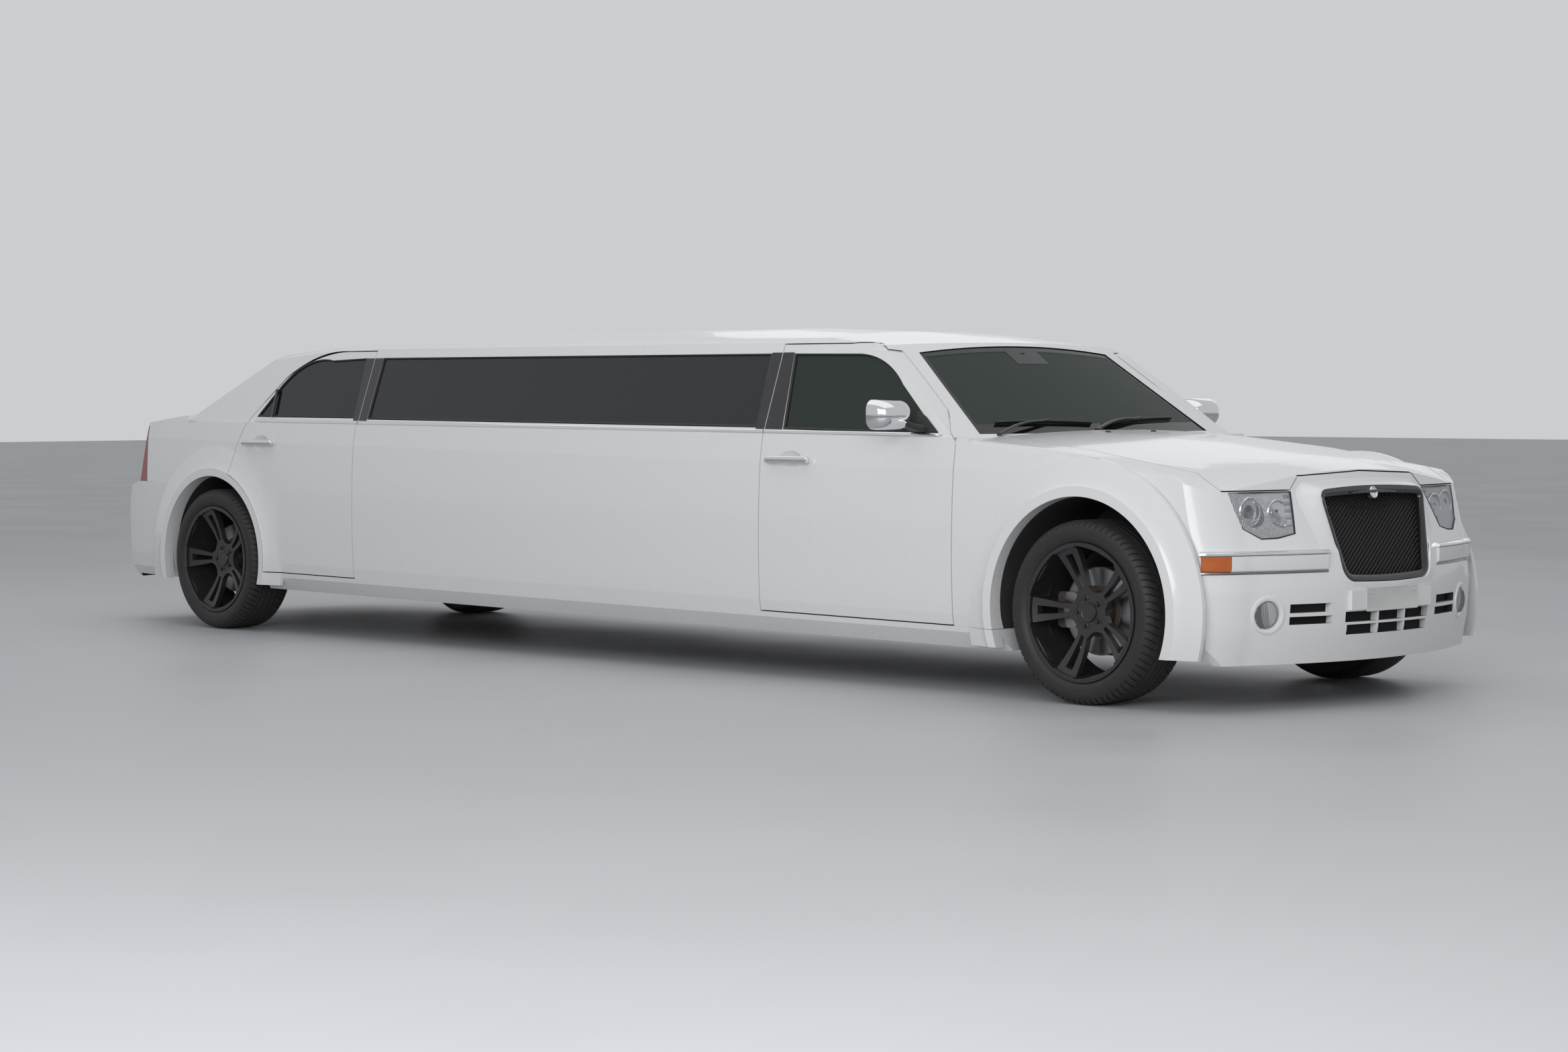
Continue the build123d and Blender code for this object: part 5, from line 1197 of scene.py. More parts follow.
for name, side in SIDES:
    bowls, bulbs = [], []
    axis = Vector((1.0, side * 0.10, 0.0)).normalized()
    for out, height, radius, bulb in REFLECTORS:
        centre = Vector((nose_x(out, height) - 0.013, side * out, height))
        bowls.append(turned_at(centre, axis, reflector(radius)))
        bowls.append(turned_at(centre, axis, [(bulb * share, reach) for share, reach in BULB_HOLDER]))
        bulbs.append(turned_at(centre, axis, [(bulb * share, reach) for share, reach in BULB_DOME]))
    formed(f"lamp_bowls_{name}", joined(bowls), "body", "lamp_inside", bright)
    formed(f"lamp_bulbs_{name}", joined(bulbs), "body", "lamp_lens", bulb_glass)
    ribs = []
    for k in range(RIB_COUNT):
        z = RIB_FOOT + k * RIB_PITCH
        inner_y = LAMP_INNER_Y + (LAMP_TOP - z) * LAMP_SLOPE
        steps = (inner_y, inner_y + RIB_LONG / 2, inner_y + RIB_LONG)
        ribs.append(straight(rounded(0.006, 0.009, 0.004), ALONG, UP,
                             [(nose_x(y, z) - 0.012, side * y, z) for y in steps]))
    formed(f"indicator_ribs_{name}", joined(ribs), "body", "lamp_inside", bright)
    line = []
    for (y, z), (far_y, far_z) in zip(LAMP_LINE, LAMP_LINE[1:] + LAMP_LINE[:1]):
        line += [(y + (far_y - y) * t / 6, z + (far_z - z) * t / 6) for t in range(6)]
    bead = []
    for y, z in line:
        inward = Vector((0.0, side * (0.58 - y), 0.745 - z)).normalized()
        x = nose_x(min(y, 0.71), z) - 0.0005 - max(y - 0.70, 0.0) * 0.6
        bead.append((Vector((x, side * y, z)), ALONG, inward, 1.0))
    formed(f"lamp_seal_{name}", swept(bead, LAMP_SEAL, closed=True), "body", "trim", rubber)


# Bumper mouldings: each corner of the nose has a painted band under a bright cap, over a dark lip, with an amber
# marker at its outer end. They are clipped to the bumper's skin.
amber_lens, surface, place = finish("amber_lens")
x, y = place.axes()[:2]
flute = (y * 900.0 + x * 900.0).sine()
feed(surface, {
    "Base Color": place.noise(25.0).blend((0.52, 0.10, 0.012, 1), (0.62, 0.15, 0.02, 1)),
    "Roughness": flute.ramp(-1.0, 1.0, 0.10, 0.18),
    "Coat Weight": 0.6,
    "Normal": place.bump(flute, 0.0012, 0.4),
})
dark_chrome, surface, place = finish("dark_chrome")
shade = place.noise(20.0)
feed(surface, {
    "Base Color": shade.blend((0.20, 0.20, 0.21, 1), (0.28, 0.28, 0.29, 1)),
    "Metallic": 1.0,
    "Roughness": shade.ramp(0.3, 0.7, 0.16, 0.28),
})


def skin_of(*names):
    """The skins of CAD nodes as one surface that rays can be cast on."""
    points, faces = [], []
    for node in names:
        start = len(points)
        points += [vert.co.copy() for vert in nodes[node].data.vertices]
        faces += [[start + index for index in face.vertices] for face in nodes[node].data.polygons]
    return BVHTree.FromPolygons(points, faces)


def round_corner(skin, pivot, height, start, end, steps, side):
    """A path on a bumper's skin at one height, seen from a pivot in it, between two angles from the car's axis."""
    middle = Vector((pivot[0], side * pivot[1], height))
    spots = []
    for k in range(steps + 1):
        angle = math.radians(start + (end - start) * k / steps)
        way = Vector((math.cos(angle), side * math.sin(angle), 0.0))
        spots.append(skin.ray_cast(middle + way * 2.0, -way)[0])
    path = []
    for k, spot in enumerate(spots):
        along = (spots[min(k + 1, steps)] - spots[max(k - 1, 0)]).normalized()
        out = along.cross(UP).normalized()
        path.append((spot, out if out.dot(spot - middle) > 0 else -out, UP, 1.0))
    return path


BAND = [(-0.006, -0.061), (0.009, -0.062), (0.0145, -0.057), (0.0165, -0.045), (0.0170, -0.020),
        (0.0165, -0.003), (-0.006, -0.0005)]
CAP = [(-0.006, -0.001), (0.0175, -0.001), (0.0195, 0.003), (0.0185, 0.009), (0.0120, 0.0135), (-0.006, 0.0165)]
LIP = [(-0.006, -0.0715), (0.0095, -0.0715), (0.0118, -0.068), (0.0105, -0.0625), (-0.006, -0.0615)]
NOSE_SKIN = skin_of("front_bumper", "front_fenders")
NOSE_PIVOT, BAND_Z = (FRONT_AXLE + 0.30, 0.45), 0.5925
# piece, section, start and end in degrees, steps, slot, material
MOULDINGS = (("bumper_cap", CAP, -11.5, 60.0, 40, "chrome", bright),
             ("bumper_band", BAND, -11.0, 46.0, 32, "paint", white_paint),
             ("bumper_lip", LIP, -11.5, 60.0, 40, "chrome", dark_chrome),
             ("amber_marker", BAND, 46.3, 59.4, 10, "trim", amber_lens))
for name, side in SIDES:
    for piece, section, start, end, steps, finish_slot, material in MOULDINGS:
        path = round_corner(NOSE_SKIN, NOSE_PIVOT, BAND_Z, start, end, steps, side)
        formed(f"{piece}_{name}", swept(path, section), "body", finish_slot, material)


# Fog lamps: round lamps behind clear fluted lenses, each over a bright bowl. Each sits in a painted bezel that is
# pressed into the bumper's corner.
FOG_Y, FOG_Z, FOG_REACH = 0.632, 0.366, 0.068
BEZEL = ((0.0735, -0.008), (0.0740, 0.0005), (0.0725, 0.0040), (0.0680, 0.0058), (0.0610, 0.0055),
         (0.0550, 0.0025), (0.0525, -0.0040), (0.0520, -0.0160), (0.0560, -0.0170))
FOG_DOME = ((0.0522, -0.0150), (0.0522, -0.0070), (0.045, -0.0030), (0.030, 0.0), (0.012, 0.0015))
FOG_BOWL = ((0.0505, -0.0155), (0.046, -0.024), (0.036, -0.036), (0.022, -0.044), (0.010, -0.046),
            (0.010, -0.030), (0.004, -0.028))
fog_glass, surface, place = finish("fog_glass")
flute = (place.axes()[1] * 700.0).sine()
feed(surface, {
    "Base Color": (0.90, 0.92, 0.93, 1),
    "Roughness": place.noise(14.0).ramp(0.3, 0.7, 0.03, 0.07),
    "Alpha": place.glancing(1.45).ramp(0.0, 0.6, 0.22, 1.0),
    "Normal": place.bump(flute, 0.0015, 0.7),
})
coated("fog_lamps", housing_chrome)


def on_nose(y, z):
    """The point of the front bumper's skin straight ahead of a place."""
    return NOSE_SKIN.ray_cast(Vector((5.0, y, z)), -ALONG)[0]


for name, side in SIDES:
    inner, outer = [on_nose(side * FOG_Y + reach, FOG_Z) for reach in (-FOG_REACH, FOG_REACH)]
    lower, upper = [on_nose(side * FOG_Y, FOG_Z + reach) for reach in (-FOG_REACH, FOG_REACH)]
    centre = (inner + outer + lower + upper) / 4
    axis = (outer - inner).cross(upper - lower).normalized()
    for piece, profile, closed, finish_slot, material in (
            ("fog_bezel", BEZEL, True, "paint", white_paint), ("fog_lens", FOG_DOME, False, "lamp_lens", fog_glass),
            ("fog_bowl", FOG_BOWL, False, "lamp_inside", bright)):
        formed(f"{piece}_{name}", turned_at(centre, axis, profile, 64, closed), "body", finish_slot, material)


# Air intakes: three openings in the bumper's foot. Behind each stands a black perforated sheet that follows the
# bend of the nose.
BACKING_BEHIND, BACKING_Z, BACKING_THICK = 0.034, 0.36, 0.002
# inner and outer end across the car, foot and head
BACKINGS = ((-0.285, 0.285, 0.268, 0.372), (-0.552, -0.330, 0.318, 0.412), (0.330, 0.552, 0.318, 0.412))
for k, (low_y, high_y, low_z, high_z) in enumerate(BACKINGS):
    tall, middle = (high_z - low_z) / 2, (low_z + high_z) / 2
    section = [(0.0, -tall), (BACKING_THICK, -tall), (BACKING_THICK, tall), (0.0, tall)]
    steps = [low_y + (high_y - low_y) * t / 8 for t in range(9)]
    points = [(nose_x(y, BACKING_Z) - BACKING_BEHIND, y, middle) for y in steps]
    formed(f"intake_backing_{k + 1}", straight(section, ALONG, UP, points), "body", "grille_black", radiator_black)


# Number plates: blank pressed aluminium plates with a raised rim and round corners. Each is held by two domed
# screws, the front one on the bumper and the rear one on the boot lid.
plate_white, surface, place = finish("plate_white")
dirt = place.noise(18.0)
feed(surface, {
    "Base Color": dirt.blend((0.62, 0.62, 0.60, 1), (0.74, 0.74, 0.72, 1)),
    "Roughness": dirt.ramp(0.3, 0.7, 0.32, 0.45),
    "Metallic": 0.1,
})
# distance in from the plate's edge, and distance out
PLATE_SECTION = ((0.0, 0.0), (0.0, 0.0016), (0.0035, 0.0030), (0.0070, 0.0016))
SCREW_HEAD, SCREW_UP = ((0.0052, 0.0005), (0.0052, 0.0022), (0.0040, 0.0032), (0.0018, 0.0036)), 0.55


def blank_plate(face, way, height, half_across, half_up):
    """A blank plate on a face, with a raised rim."""
    rings = []
    for inset, out in PLATE_SECTION:
        narrower, lower = (half_across - inset) / half_across, (half_up - inset) / half_up
        rings.append([(face + way * out, a * narrower, height + b * lower)
                      for a, b in rounded(half_across, half_up, 0.009)])
    return ringed(rings)


# name, body, face, way it looks along the car, height, half width, half height, screws' distance out
PLATES = (("front", "body", PLATE_FACE, 1, 0.409, 0.172, 0.046, 0.148),
          ("rear", "boot_lid", FRONT_AXLE - 6.7092, -1, 0.8575, 0.250, 0.054, 0.178))
for name, body, face, way, height, half_across, half_up, screw in PLATES:
    formed(f"{name}_plate", blank_plate(face, way, height, half_across, half_up), body, "trim", plate_white)
    seats = [Vector((face + way * 0.0014, y, height + half_up * SCREW_UP)) for y in (-screw, screw)]
    screws = joined([turned_at(seat, ALONG * way, SCREW_HEAD, 20) for seat in seats])
    formed(f"{name}_plate_screws", screws, body, "trim", bright)


# Windscreen wipers: two black arms on pivots at the foot of the screen, each with a blade whose rubber lies on the
# glass. The washer nozzles stand on the bonnet in front of them.
SCREEN_SKIN, BONNET_SKIN = skin_of("windscreen"), skin_of("bonnet")
COWL_SKIN = skin_of("windscreen_frame", "windscreen")


def over(skin, x, y, lift=0.0):
    """The point of a skin under a place, lifted off it, and the skin's upward normal there."""
    spot, normal = skin.ray_cast(Vector((x, y, 2.0)), -UP)[:2]
    normal = normal if normal.z > 0 else -normal
    return spot + normal * lift, normal


BLADE_STEPS, WIPER_STEPS, BLADE_HOLD = 16, 12, 9
BLADE_LIFT, RUBBER_LIFT = 0.0115, 0.0045
BLADE_SECTION, ARM_SECTION = rounded(0.0042, 0.0062, 0.003), rounded(0.0045, 0.0085, 0.0035)
RUBBER_SECTION = [(-0.0045, -0.0008), (0.0045, -0.003), (0.0045, 0.003), (-0.0045, 0.0008)]
PIVOT_CAP = ((0.0165, -0.012), (0.0165, 0.014), (0.0135, 0.0195), (0.0050, 0.0210))
# where a blade starts and ends and where its arm's pivot stands, as distances along and across the car
WIPERS = {"right": ((2.300, -0.600), (2.352, -0.060), (2.372, -0.655)),
          "left": ((2.362, -0.010), (2.292, 0.540), (2.398, -0.075))}
for name, (start, end, pivot) in WIPERS.items():
    start, end = Vector(start), Vector(end)
    spots = [over(SCREEN_SKIN, *start.lerp(end, t / BLADE_STEPS)) for t in range(BLADE_STEPS + 1)]
    blade, squeegee = [], []
    for k, (spot, normal) in enumerate(spots):
        along = (spots[min(k + 1, BLADE_STEPS)][0] - spots[max(k - 1, 0)][0]).normalized()
        wide = along.cross(normal).normalized()
        scale = 0.55 + 0.45 * max(math.sin(math.pi * k / BLADE_STEPS), 0.0) ** 0.5
        blade.append((spot + normal * BLADE_LIFT, normal, wide, scale))
        squeegee.append((spot + normal * RUBBER_LIFT, normal, wide, 1.0))
    blades = joined([swept(blade, BLADE_SECTION), swept(squeegee, RUBBER_SECTION)])
    formed(f"wiper_blade_{name}", blades, "body", "trim", rubber)
    foot = over(COWL_SKIN, *pivot)[0]
    middle, normal = spots[BLADE_HOLD]
    arm = []
    for k in range(WIPER_STEPS + 1):
        t = k / WIPER_STEPS
        spot = foot.lerp(middle, t) + UP * (0.012 + 0.016 * math.sin(math.pi * min(t * 1.15, 1.0)))
        arm.append((spot + normal * 0.006 * t, UP, (middle - foot).cross(UP).normalized(), 1.25 - 0.6 * t))
    arms = joined([swept(arm, ARM_SECTION), turned_at(foot, UP, PIVOT_CAP, 24)])
    formed(f"wiper_arm_{name}", arms, "body", "trim", satin_black)

NOZZLE_X, NOZZLE_Y, NOZZLE_HALF = FRONT_AXLE - 0.502, 0.147, 0.013
for name, side in SIDES:
    spot, normal = over(BONNET_SKIN, NOZZLE_X, side * NOZZLE_Y, 0.001)
    nozzle = [(spot + ALONG * (NOZZLE_HALF * t), normal, ACROSS, max(1.0 - t * t, 0.05) ** 0.5)
              for t in (-1.0, -0.8, -0.4, 0.0, 0.5, 0.85, 1.0)]
    nozzle = swept(nozzle, rounded(0.0055, 0.0095, 0.004))
    formed(f"washer_nozzle_{name}", nozzle, "bonnet", "trim", moulded_black)


# Rear door glass: a black post parts the sliding pane from the small fixed corner pane. Its foot and its head
# stand in the window's seal.
POST_TOP, POST_FOOT = (FRONT_AXLE - 5.3625, 1.222), (FRONT_AXLE - 5.345, 1.084)
for name, side in SIDES:
    ends = [on_side(*place, 0.0035, side) for place in (POST_FOOT, POST_TOP)]
    post = straight(rounded(0.0045, 0.0085, 0.003), turned_out(side), ALONG, ends)
    formed(f"glass_post_{name}", post, f"rear_door_{name}", "trim", gloss_black)


# Dashboard and steering wheel: one foamed moulding with a hood over the dials, and a leather-bound wheel. Four
# round vents and a centre screen are clipped into it, and a mirror hangs from the screen above it.
dash_skin, surface, place = finish("dash_skin")
grain, shade = place.cells(380.0), place.noise(5.0)
feed(surface, {
    "Base Color": shade.blend((0.030, 0.030, 0.032, 1), (0.042, 0.042, 0.044, 1)),
    "Roughness": shade.ramp(0.3, 0.7, 0.48, 0.60),
    "Normal": place.bump(grain, 0.0008, 0.5),
})
hide, surface, place = finish("hide")
pores, creases = place.cells(300.0), place.noise(26.0, 5.0)
feed(surface, {
    "Base Color": creases.blend((0.030, 0.029, 0.029, 1), (0.060, 0.058, 0.057, 1)),
    "Roughness": creases.ramp(0.3, 0.7, 0.36, 0.50),
    "Normal": place.bump(pores * 0.5 + creases, 0.0012, 0.6),
})
thread, surface, place = finish("seat_thread")
x, y, z = place.axes()
twist = ((x + y + z) * 2600.0).sine()
feed(surface, {
    "Base Color": twist.blend((0.16, 0.16, 0.155, 1), (0.30, 0.30, 0.29, 1)),
    "Roughness": 0.75,
})


def softened(node, width, material, segments=3):
    """A CAD node's copy with its hard edges rounded, which stands for the node."""
    shell = merged(node)
    bmesh.ops.dissolve_limit(shell, angle_limit=0.01, verts=shell.verts, edges=shell.edges)
    bevel = ("BEVEL", {"width": width, "segments": segments, "limit_method": "ANGLE", "angle_limit": 0.6})
    stand_in(node, "finished", opened(worked(kept(shell, node), bevel)), "trim", material)


softened("dashboard", 0.016, dash_skin)
coated("steering_wheel", hide)
DRIVER_Y, HOOD_X, HOOD_Z, HOOD_HALF, HOOD_RISE = -0.370, FRONT_AXLE - 0.905, 0.968, 0.195, 0.040
hood = [(HOOD_X, DRIVER_Y + HOOD_HALF * t, HOOD_Z + HOOD_RISE * (1 - t ** 4))
        for t in (k / 10 for k in range(-10, 11))]
formed("dial_hood", straight(rounded(0.0045, 0.060, 0.004), UP, ALONG, hood), "body", "trim", dash_skin)
dial_glass, surface, place = finish("dial_glass")
sheen = place.noise(8.0)
feed(surface, {
    "Base Color": sheen.blend((0.006, 0.007, 0.008, 1), (0.012, 0.013, 0.015, 1)),
    "Roughness": sheen.ramp(0.3, 0.7, 0.05, 0.12),
    "Coat Weight": 0.8,
})
FACE_TOP, FACE_FOOT = Vector((FRONT_AXLE - 0.960, 0.0, 0.975)), Vector((FRONT_AXLE - 1.015, 0.0, 0.860))
FACE_UP = (FACE_TOP - FACE_FOOT).normalized()
FACE_OUT = Vector((-FACE_UP.z, 0.0, FACE_UP.x))
RING = ((1.0, -0.004), (1.0, 0.004), (0.93, 0.0065), (0.86, 0.004), (0.86, -0.004))
# distance across the car, distance up the face and radius: two dials, then four vents
ROUND_FACES = ((DRIVER_Y - 0.085, 0.060, 0.052), (DRIVER_Y + 0.085, 0.060, 0.052), (-0.700, 0.062, 0.040),
               (-0.175, 0.062, 0.036), (0.175, 0.062, 0.036), (0.700, 0.062, 0.040))
DIALS, SLAT_ROWS, SLAT_SECTION = 2, 3.4, rounded(0.003, 0.0016, 0.001)


def vent_slats(centre, radius):
    """Seven slats across a round vent."""
    slats = []
    for row in range(-3, 4):
        middle = centre + FACE_UP * (radius * row / SLAT_ROWS) + FACE_OUT * 0.001
        half = ACROSS * (radius * 0.84 * math.cos(row / SLAT_ROWS))
        slats.append(straight(SLAT_SECTION, FACE_OUT, FACE_UP, (middle - half, middle + half)))
    return joined(slats)


for k, (across, up, radius) in enumerate(ROUND_FACES):
    centre = FACE_FOOT + FACE_UP * up + ACROSS * across
    ring = turned_at(centre, FACE_OUT, [(radius * share, out) for share, out in RING], 40, closed=True)
    formed(f"dash_ring_{k + 1}", ring, "body", "chrome", bright)
    if k < DIALS:
        dial = ((radius * 0.88, -0.002), (radius * 0.88, 0.0012), (radius * 0.3, 0.0022))
        formed(f"dash_face_{k + 1}", turned_at(centre, FACE_OUT, dial, 40), "body", "trim", dial_glass)
    else:
        formed(f"dash_face_{k + 1}", vent_slats(centre, radius), "body", "trim", moulded_black)
SCREEN_HALF, SCREEN_UP = 0.118, 0.060
ends = [FACE_FOOT + FACE_UP * SCREEN_UP + FACE_OUT * 0.0005 + ACROSS * y for y in (-SCREEN_HALF, SCREEN_HALF)]
screen = straight(rounded(0.0025, 0.046, 0.002), FACE_OUT, FACE_UP, ends)
formed("dash_screen", screen, "body", "trim", dial_glass)
MIRROR_X, MIRROR_HEIGHT, MIRROR_HALF = 1.905, 1.300, 0.122
MIRROR_BACK, MIRROR_UP = Vector((-0.97, 0.0, -0.24)), Vector((-0.24, 0.0, 0.97))
mirror_path = [
    (Vector((MIRROR_X, MIRROR_HALF * t, MIRROR_HEIGHT)), MIRROR_BACK, MIRROR_UP, max(1 - t ** 6, 0.2) ** 0.5)
    for t in (-1.0, -0.95, -0.8, -0.4, 0.0, 0.4, 0.8, 0.95, 1.0)
]
formed("inner_mirror", swept(mirror_path, rounded(0.013, 0.033, 0.009)), "body", "trim", moulded_black)
STEM = ((1.905, 1.305, 1.0), (1.925, 1.345, 0.9), (1.918, 1.372, 1.3))
stem = swept([(Vector((x, 0.0, z)), ALONG, ACROSS, scale) for x, z, scale in STEM], rounded(0.007, 0.010, 0.005))
formed("inner_mirror_stem", stem, "body", "trim", moulded_black)


# Seats: foam cushions in black leather on moulded bases. Each cushion is swollen by a cloth simulation, and its
# piping is laid round it afterwards. Front seats are single, with headrests on two steel posts.
SWELL_FRAMES, SWELL_PRESSURE = 20, 4.0
PIPING, PIPING_IN, PIPING_STEP = rounded(0.0028, 0.0028, 0.0027), 0.022, 0.02


def placed_across(flat, reach, a, b):
    """A point of a cushion's outline, at a distance along the axis that the outline is drawn across."""
    return Vector((a, reach, b) if flat == "y" else (reach, a, b))


def piping(mesh, outline, low, high, flat):
    """The piping of a cushion: two closed beads that lie on its swollen skin, near its two ends."""
    faces = [tuple(face.vertices) for face in mesh.polygons]
    skin = BVHTree.FromPolygons([vert.co.copy() for vert in mesh.vertices], faces)
    beads = []
    for reach in (low + PIPING_IN, high - PIPING_IN):
        spots = []
        for (a, b), (next_a, next_b) in zip(outline, outline[1:] + outline[:1]):
            count = max(2, round(math.hypot(next_a - a, next_b - b) / PIPING_STEP))
            for t in (step / count for step in range(count)):
                place = placed_across(flat, reach, a + (next_a - a) * t, b + (next_b - b) * t)
                spots.append(skin.find_nearest(place)[:2])
        path = []
        for k, (spot, normal) in enumerate(spots):
            along = (spots[(k + 1) % len(spots)][0] - spots[k - 1][0]).normalized()
            path.append((spot + normal * 0.001, normal, along.cross(normal).normalized(), 1.0))
        beads.append(swept(path, PIPING, closed=True))
    return shaded(joined(beads), "piping")


def cushion(name, outline, low, high, flat, voxel, cap):
    """A pad from an outline across an axis, remeshed, swollen as cloth by no more than a cap; and its piping."""
    block = slab(*[[placed_across(flat, reach, a, b) for a, b in outline] for reach in (low, high)])
    bmesh.ops.recalc_face_normals(block, faces=block.faces)
    bevel = ("BEVEL", {"width": 0.022, "segments": 3, "limit_method": "ANGLE", "angle_limit": 0.5})
    plain = worked(kept(block, name), bevel, ("REMESH", {"mode": "VOXEL", "voxel_size": voxel}))
    pad = bpy.data.objects.new(name, plain)
    bpy.context.collection.objects.link(pad)
    start = [vert.co.copy() for vert in plain.vertices]
    cloth = pad.modifiers.new("cloth", "CLOTH")
    cloth.settings.use_pressure = True
    cloth.settings.uniform_pressure_force = SWELL_PRESSURE
    cloth.settings.effector_weights.gravity = 0.0
    for step in range(1, SWELL_FRAMES + 1):
        bpy.context.scene.frame_set(step)
    plain = bpy.data.meshes.new_from_object(pad.evaluated_get(bpy.context.evaluated_depsgraph_get()))
    bpy.data.objects.remove(pad)
    bpy.context.scene.frame_set(1)
    for vert, before in zip(plain.vertices, start):
        move = vert.co - before
        vert.co = before + move * min(1.0, cap / max(move.length, 0.0001))
    smooth = ("SMOOTH", {"factor": 0.5, "iterations": 4})
    pad = worked(plain, smooth, ("SUBSURF", {"levels": 1, "render_levels": 1}))
    return pad, piping(pad, outline, low, high, flat)


def shifted(mesh, move, mirrored):
    """A copy of a mesh moved, or mirrored to the car's other side."""
    copy = opened(mesh)
    for vert in copy.verts:
        vert.co = vert.co + Vector(move)
        vert.co.y *= -1 if mirrored else 1
    if mirrored:
        bmesh.ops.reverse_faces(copy, faces=copy.faces)
    for face in copy.faces:
        face.smooth = True
    return kept(copy, mesh.name)


def upholstered(name, pad, move=(0.0, 0.0, 0.0), mirrored=False):
    """A finished cushion in leather, at its place, with its piping."""
    piece = placed(name, shifted(pad[0], move, mirrored), "body", (hide,))
    placed(f"{name}_piping", shifted(pad[1], move, mirrored), "body", (thread,))


def behind(*points):
    """Points given by their distance forward of the front axle, in metres along the car, and their height."""
    return tuple((FRONT_AXLE + s, z) for s, z in points)


front_base = cushion(
    "front_base", behind((-1.246, 0.418), (-1.240, 0.474), (-1.292, 0.494), (-1.625, 0.462), (-1.650, 0.418)),
    0.135, 0.615, "y", 0.007, 0.012)
front_back = cushion(
    "front_back", behind((-1.640, 0.450), (-1.800, 0.968), (-1.868, 0.996), (-1.893, 0.975), (-1.765, 0.430)),
    0.135, 0.615, "y", 0.007, 0.012)
headrest = cushion(
    "headrest", behind((-1.844, 1.068), (-1.857, 1.188), (-1.898, 1.203), (-1.921, 1.182), (-1.908, 1.068)),
    0.253, 0.497, "y", 0.006, 0.008)
SEAT_BACK_OUT, SEAT_BACK_UP = Vector((0.956, 0.0, 0.293)), Vector((-0.293, 0.0, 0.956))
SEAT_Y, POST_OUT = 0.375, 0.055
for name, side in SIDES:
    for label, pad in (("front_seat_base", front_base), ("front_seat_back", front_back), ("headrest", headrest)):
        upholstered(f"{label}_{name}", pad, mirrored=side < 0)
    block = straight(rounded(0.208, 0.074, 0.02), ALONG, UP,
                     [(FRONT_AXLE - 1.50, side * y, 0.338) for y in (0.172, 0.578)])
    back = straight(rounded(0.010, 0.235, 0.008), SEAT_BACK_OUT, SEAT_BACK_UP,
                    [(FRONT_AXLE - 1.845, side * y, 0.72) for y in (0.150, 0.600)])
    base = formed(f"seat_shell_{name}", joined([block, back]), "body", "trim", moulded_black)
    if side < 0:
        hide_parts("front_seats")
    posts = [straight(rounded(0.006, 0.006, 0.0055), ALONG, ACROSS,
                      [(FRONT_AXLE - 1.872, side * y, z) for z in (0.975, 1.085)])
             for y in (SEAT_Y - POST_OUT, SEAT_Y + POST_OUT)]
    formed(f"headrest_posts_{name}", joined(posts), "body", "chrome", bright)

LOUNGE_BACK, LOUNGE_FRONT, LOUNGE_PLACES, LOUNGE_GAP = FRONT_AXLE - 4.392, FRONT_AXLE - 2.118, 4, 0.004
place_long = (LOUNGE_FRONT - LOUNGE_BACK) / LOUNGE_PLACES
lounge_ends = LOUNGE_BACK + LOUNGE_GAP, LOUNGE_BACK + place_long - LOUNGE_GAP
lounge_base = cushion("lounge_base", ((0.342, 0.385), (0.338, 0.458), (0.640, 0.446), (0.655, 0.385)),
                      *lounge_ends, "x", 0.010, 0.014)
lounge_back = cushion("lounge_back", ((0.668, 0.452), (0.706, 0.862), (0.776, 0.868), (0.776, 0.452)),
                      *lounge_ends, "x", 0.010, 0.014)
for k in range(LOUNGE_PLACES):
    upholstered(f"lounge_base_{k + 1}", lounge_base, (place_long * k, 0.0, 0.0))
    upholstered(f"lounge_back_{k + 1}", lounge_back, (place_long * k, 0.0, 0.0))
rear_base = cushion(
    "rear_base", behind((-4.998, 0.400), (-4.985, 0.470), (-5.035, 0.488), (-5.430, 0.468), (-5.450, 0.400)),
    0.008, 0.622, "y", 0.009, 0.014)
rear_back = cushion("rear_back", behind((-5.452, 0.482), (-5.550, 0.965), (-5.640, 0.968), (-5.560, 0.482)),
                    0.008, 0.622, "y", 0.009, 0.014)
for name, side in SIDES:
    upholstered(f"rear_base_{name}", rear_base, mirrored=side < 0)
    upholstered(f"rear_back_{name}", rear_back, mirrored=side < 0)
plinth = straight(rounded(0.150, 0.060, 0.006), ACROSS, UP, [(x, 0.497, 0.324) for x in (LOUNGE_BACK, LOUNGE_FRONT)])
shelf = straight(rounded(0.205, 0.068, 0.006), ALONG, UP,
                 [(FRONT_AXLE - 5.22, y, 0.332) for y in (-0.625, 0.625)])
bases = formed("lounge_bases", joined([plinth, shelf]), "body", "trim", dash_skin)
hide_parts("lounge_seats")


# Partition and cabinet: a panel behind the front seats with a long cabinet beside the lounge. Both are boards in
# dark veneer under lacquer, with eased edges.
veneer, surface, place = finish("veneer")
grain = place.noise(3.0, 6.0)
rays = ((place.axes()[2] + grain * 0.06) * 260.0).sine()
feed(surface, {
    "Base Color": rays.ramp(-1.0, 1.0).blend((0.050, 0.022, 0.010, 1), (0.105, 0.050, 0.022, 1)),
    "Roughness": grain.ramp(0.3, 0.7, 0.22, 0.34),
    "Coat Weight": 0.7,
})
softened("partition", 0.006, veneer, 2)


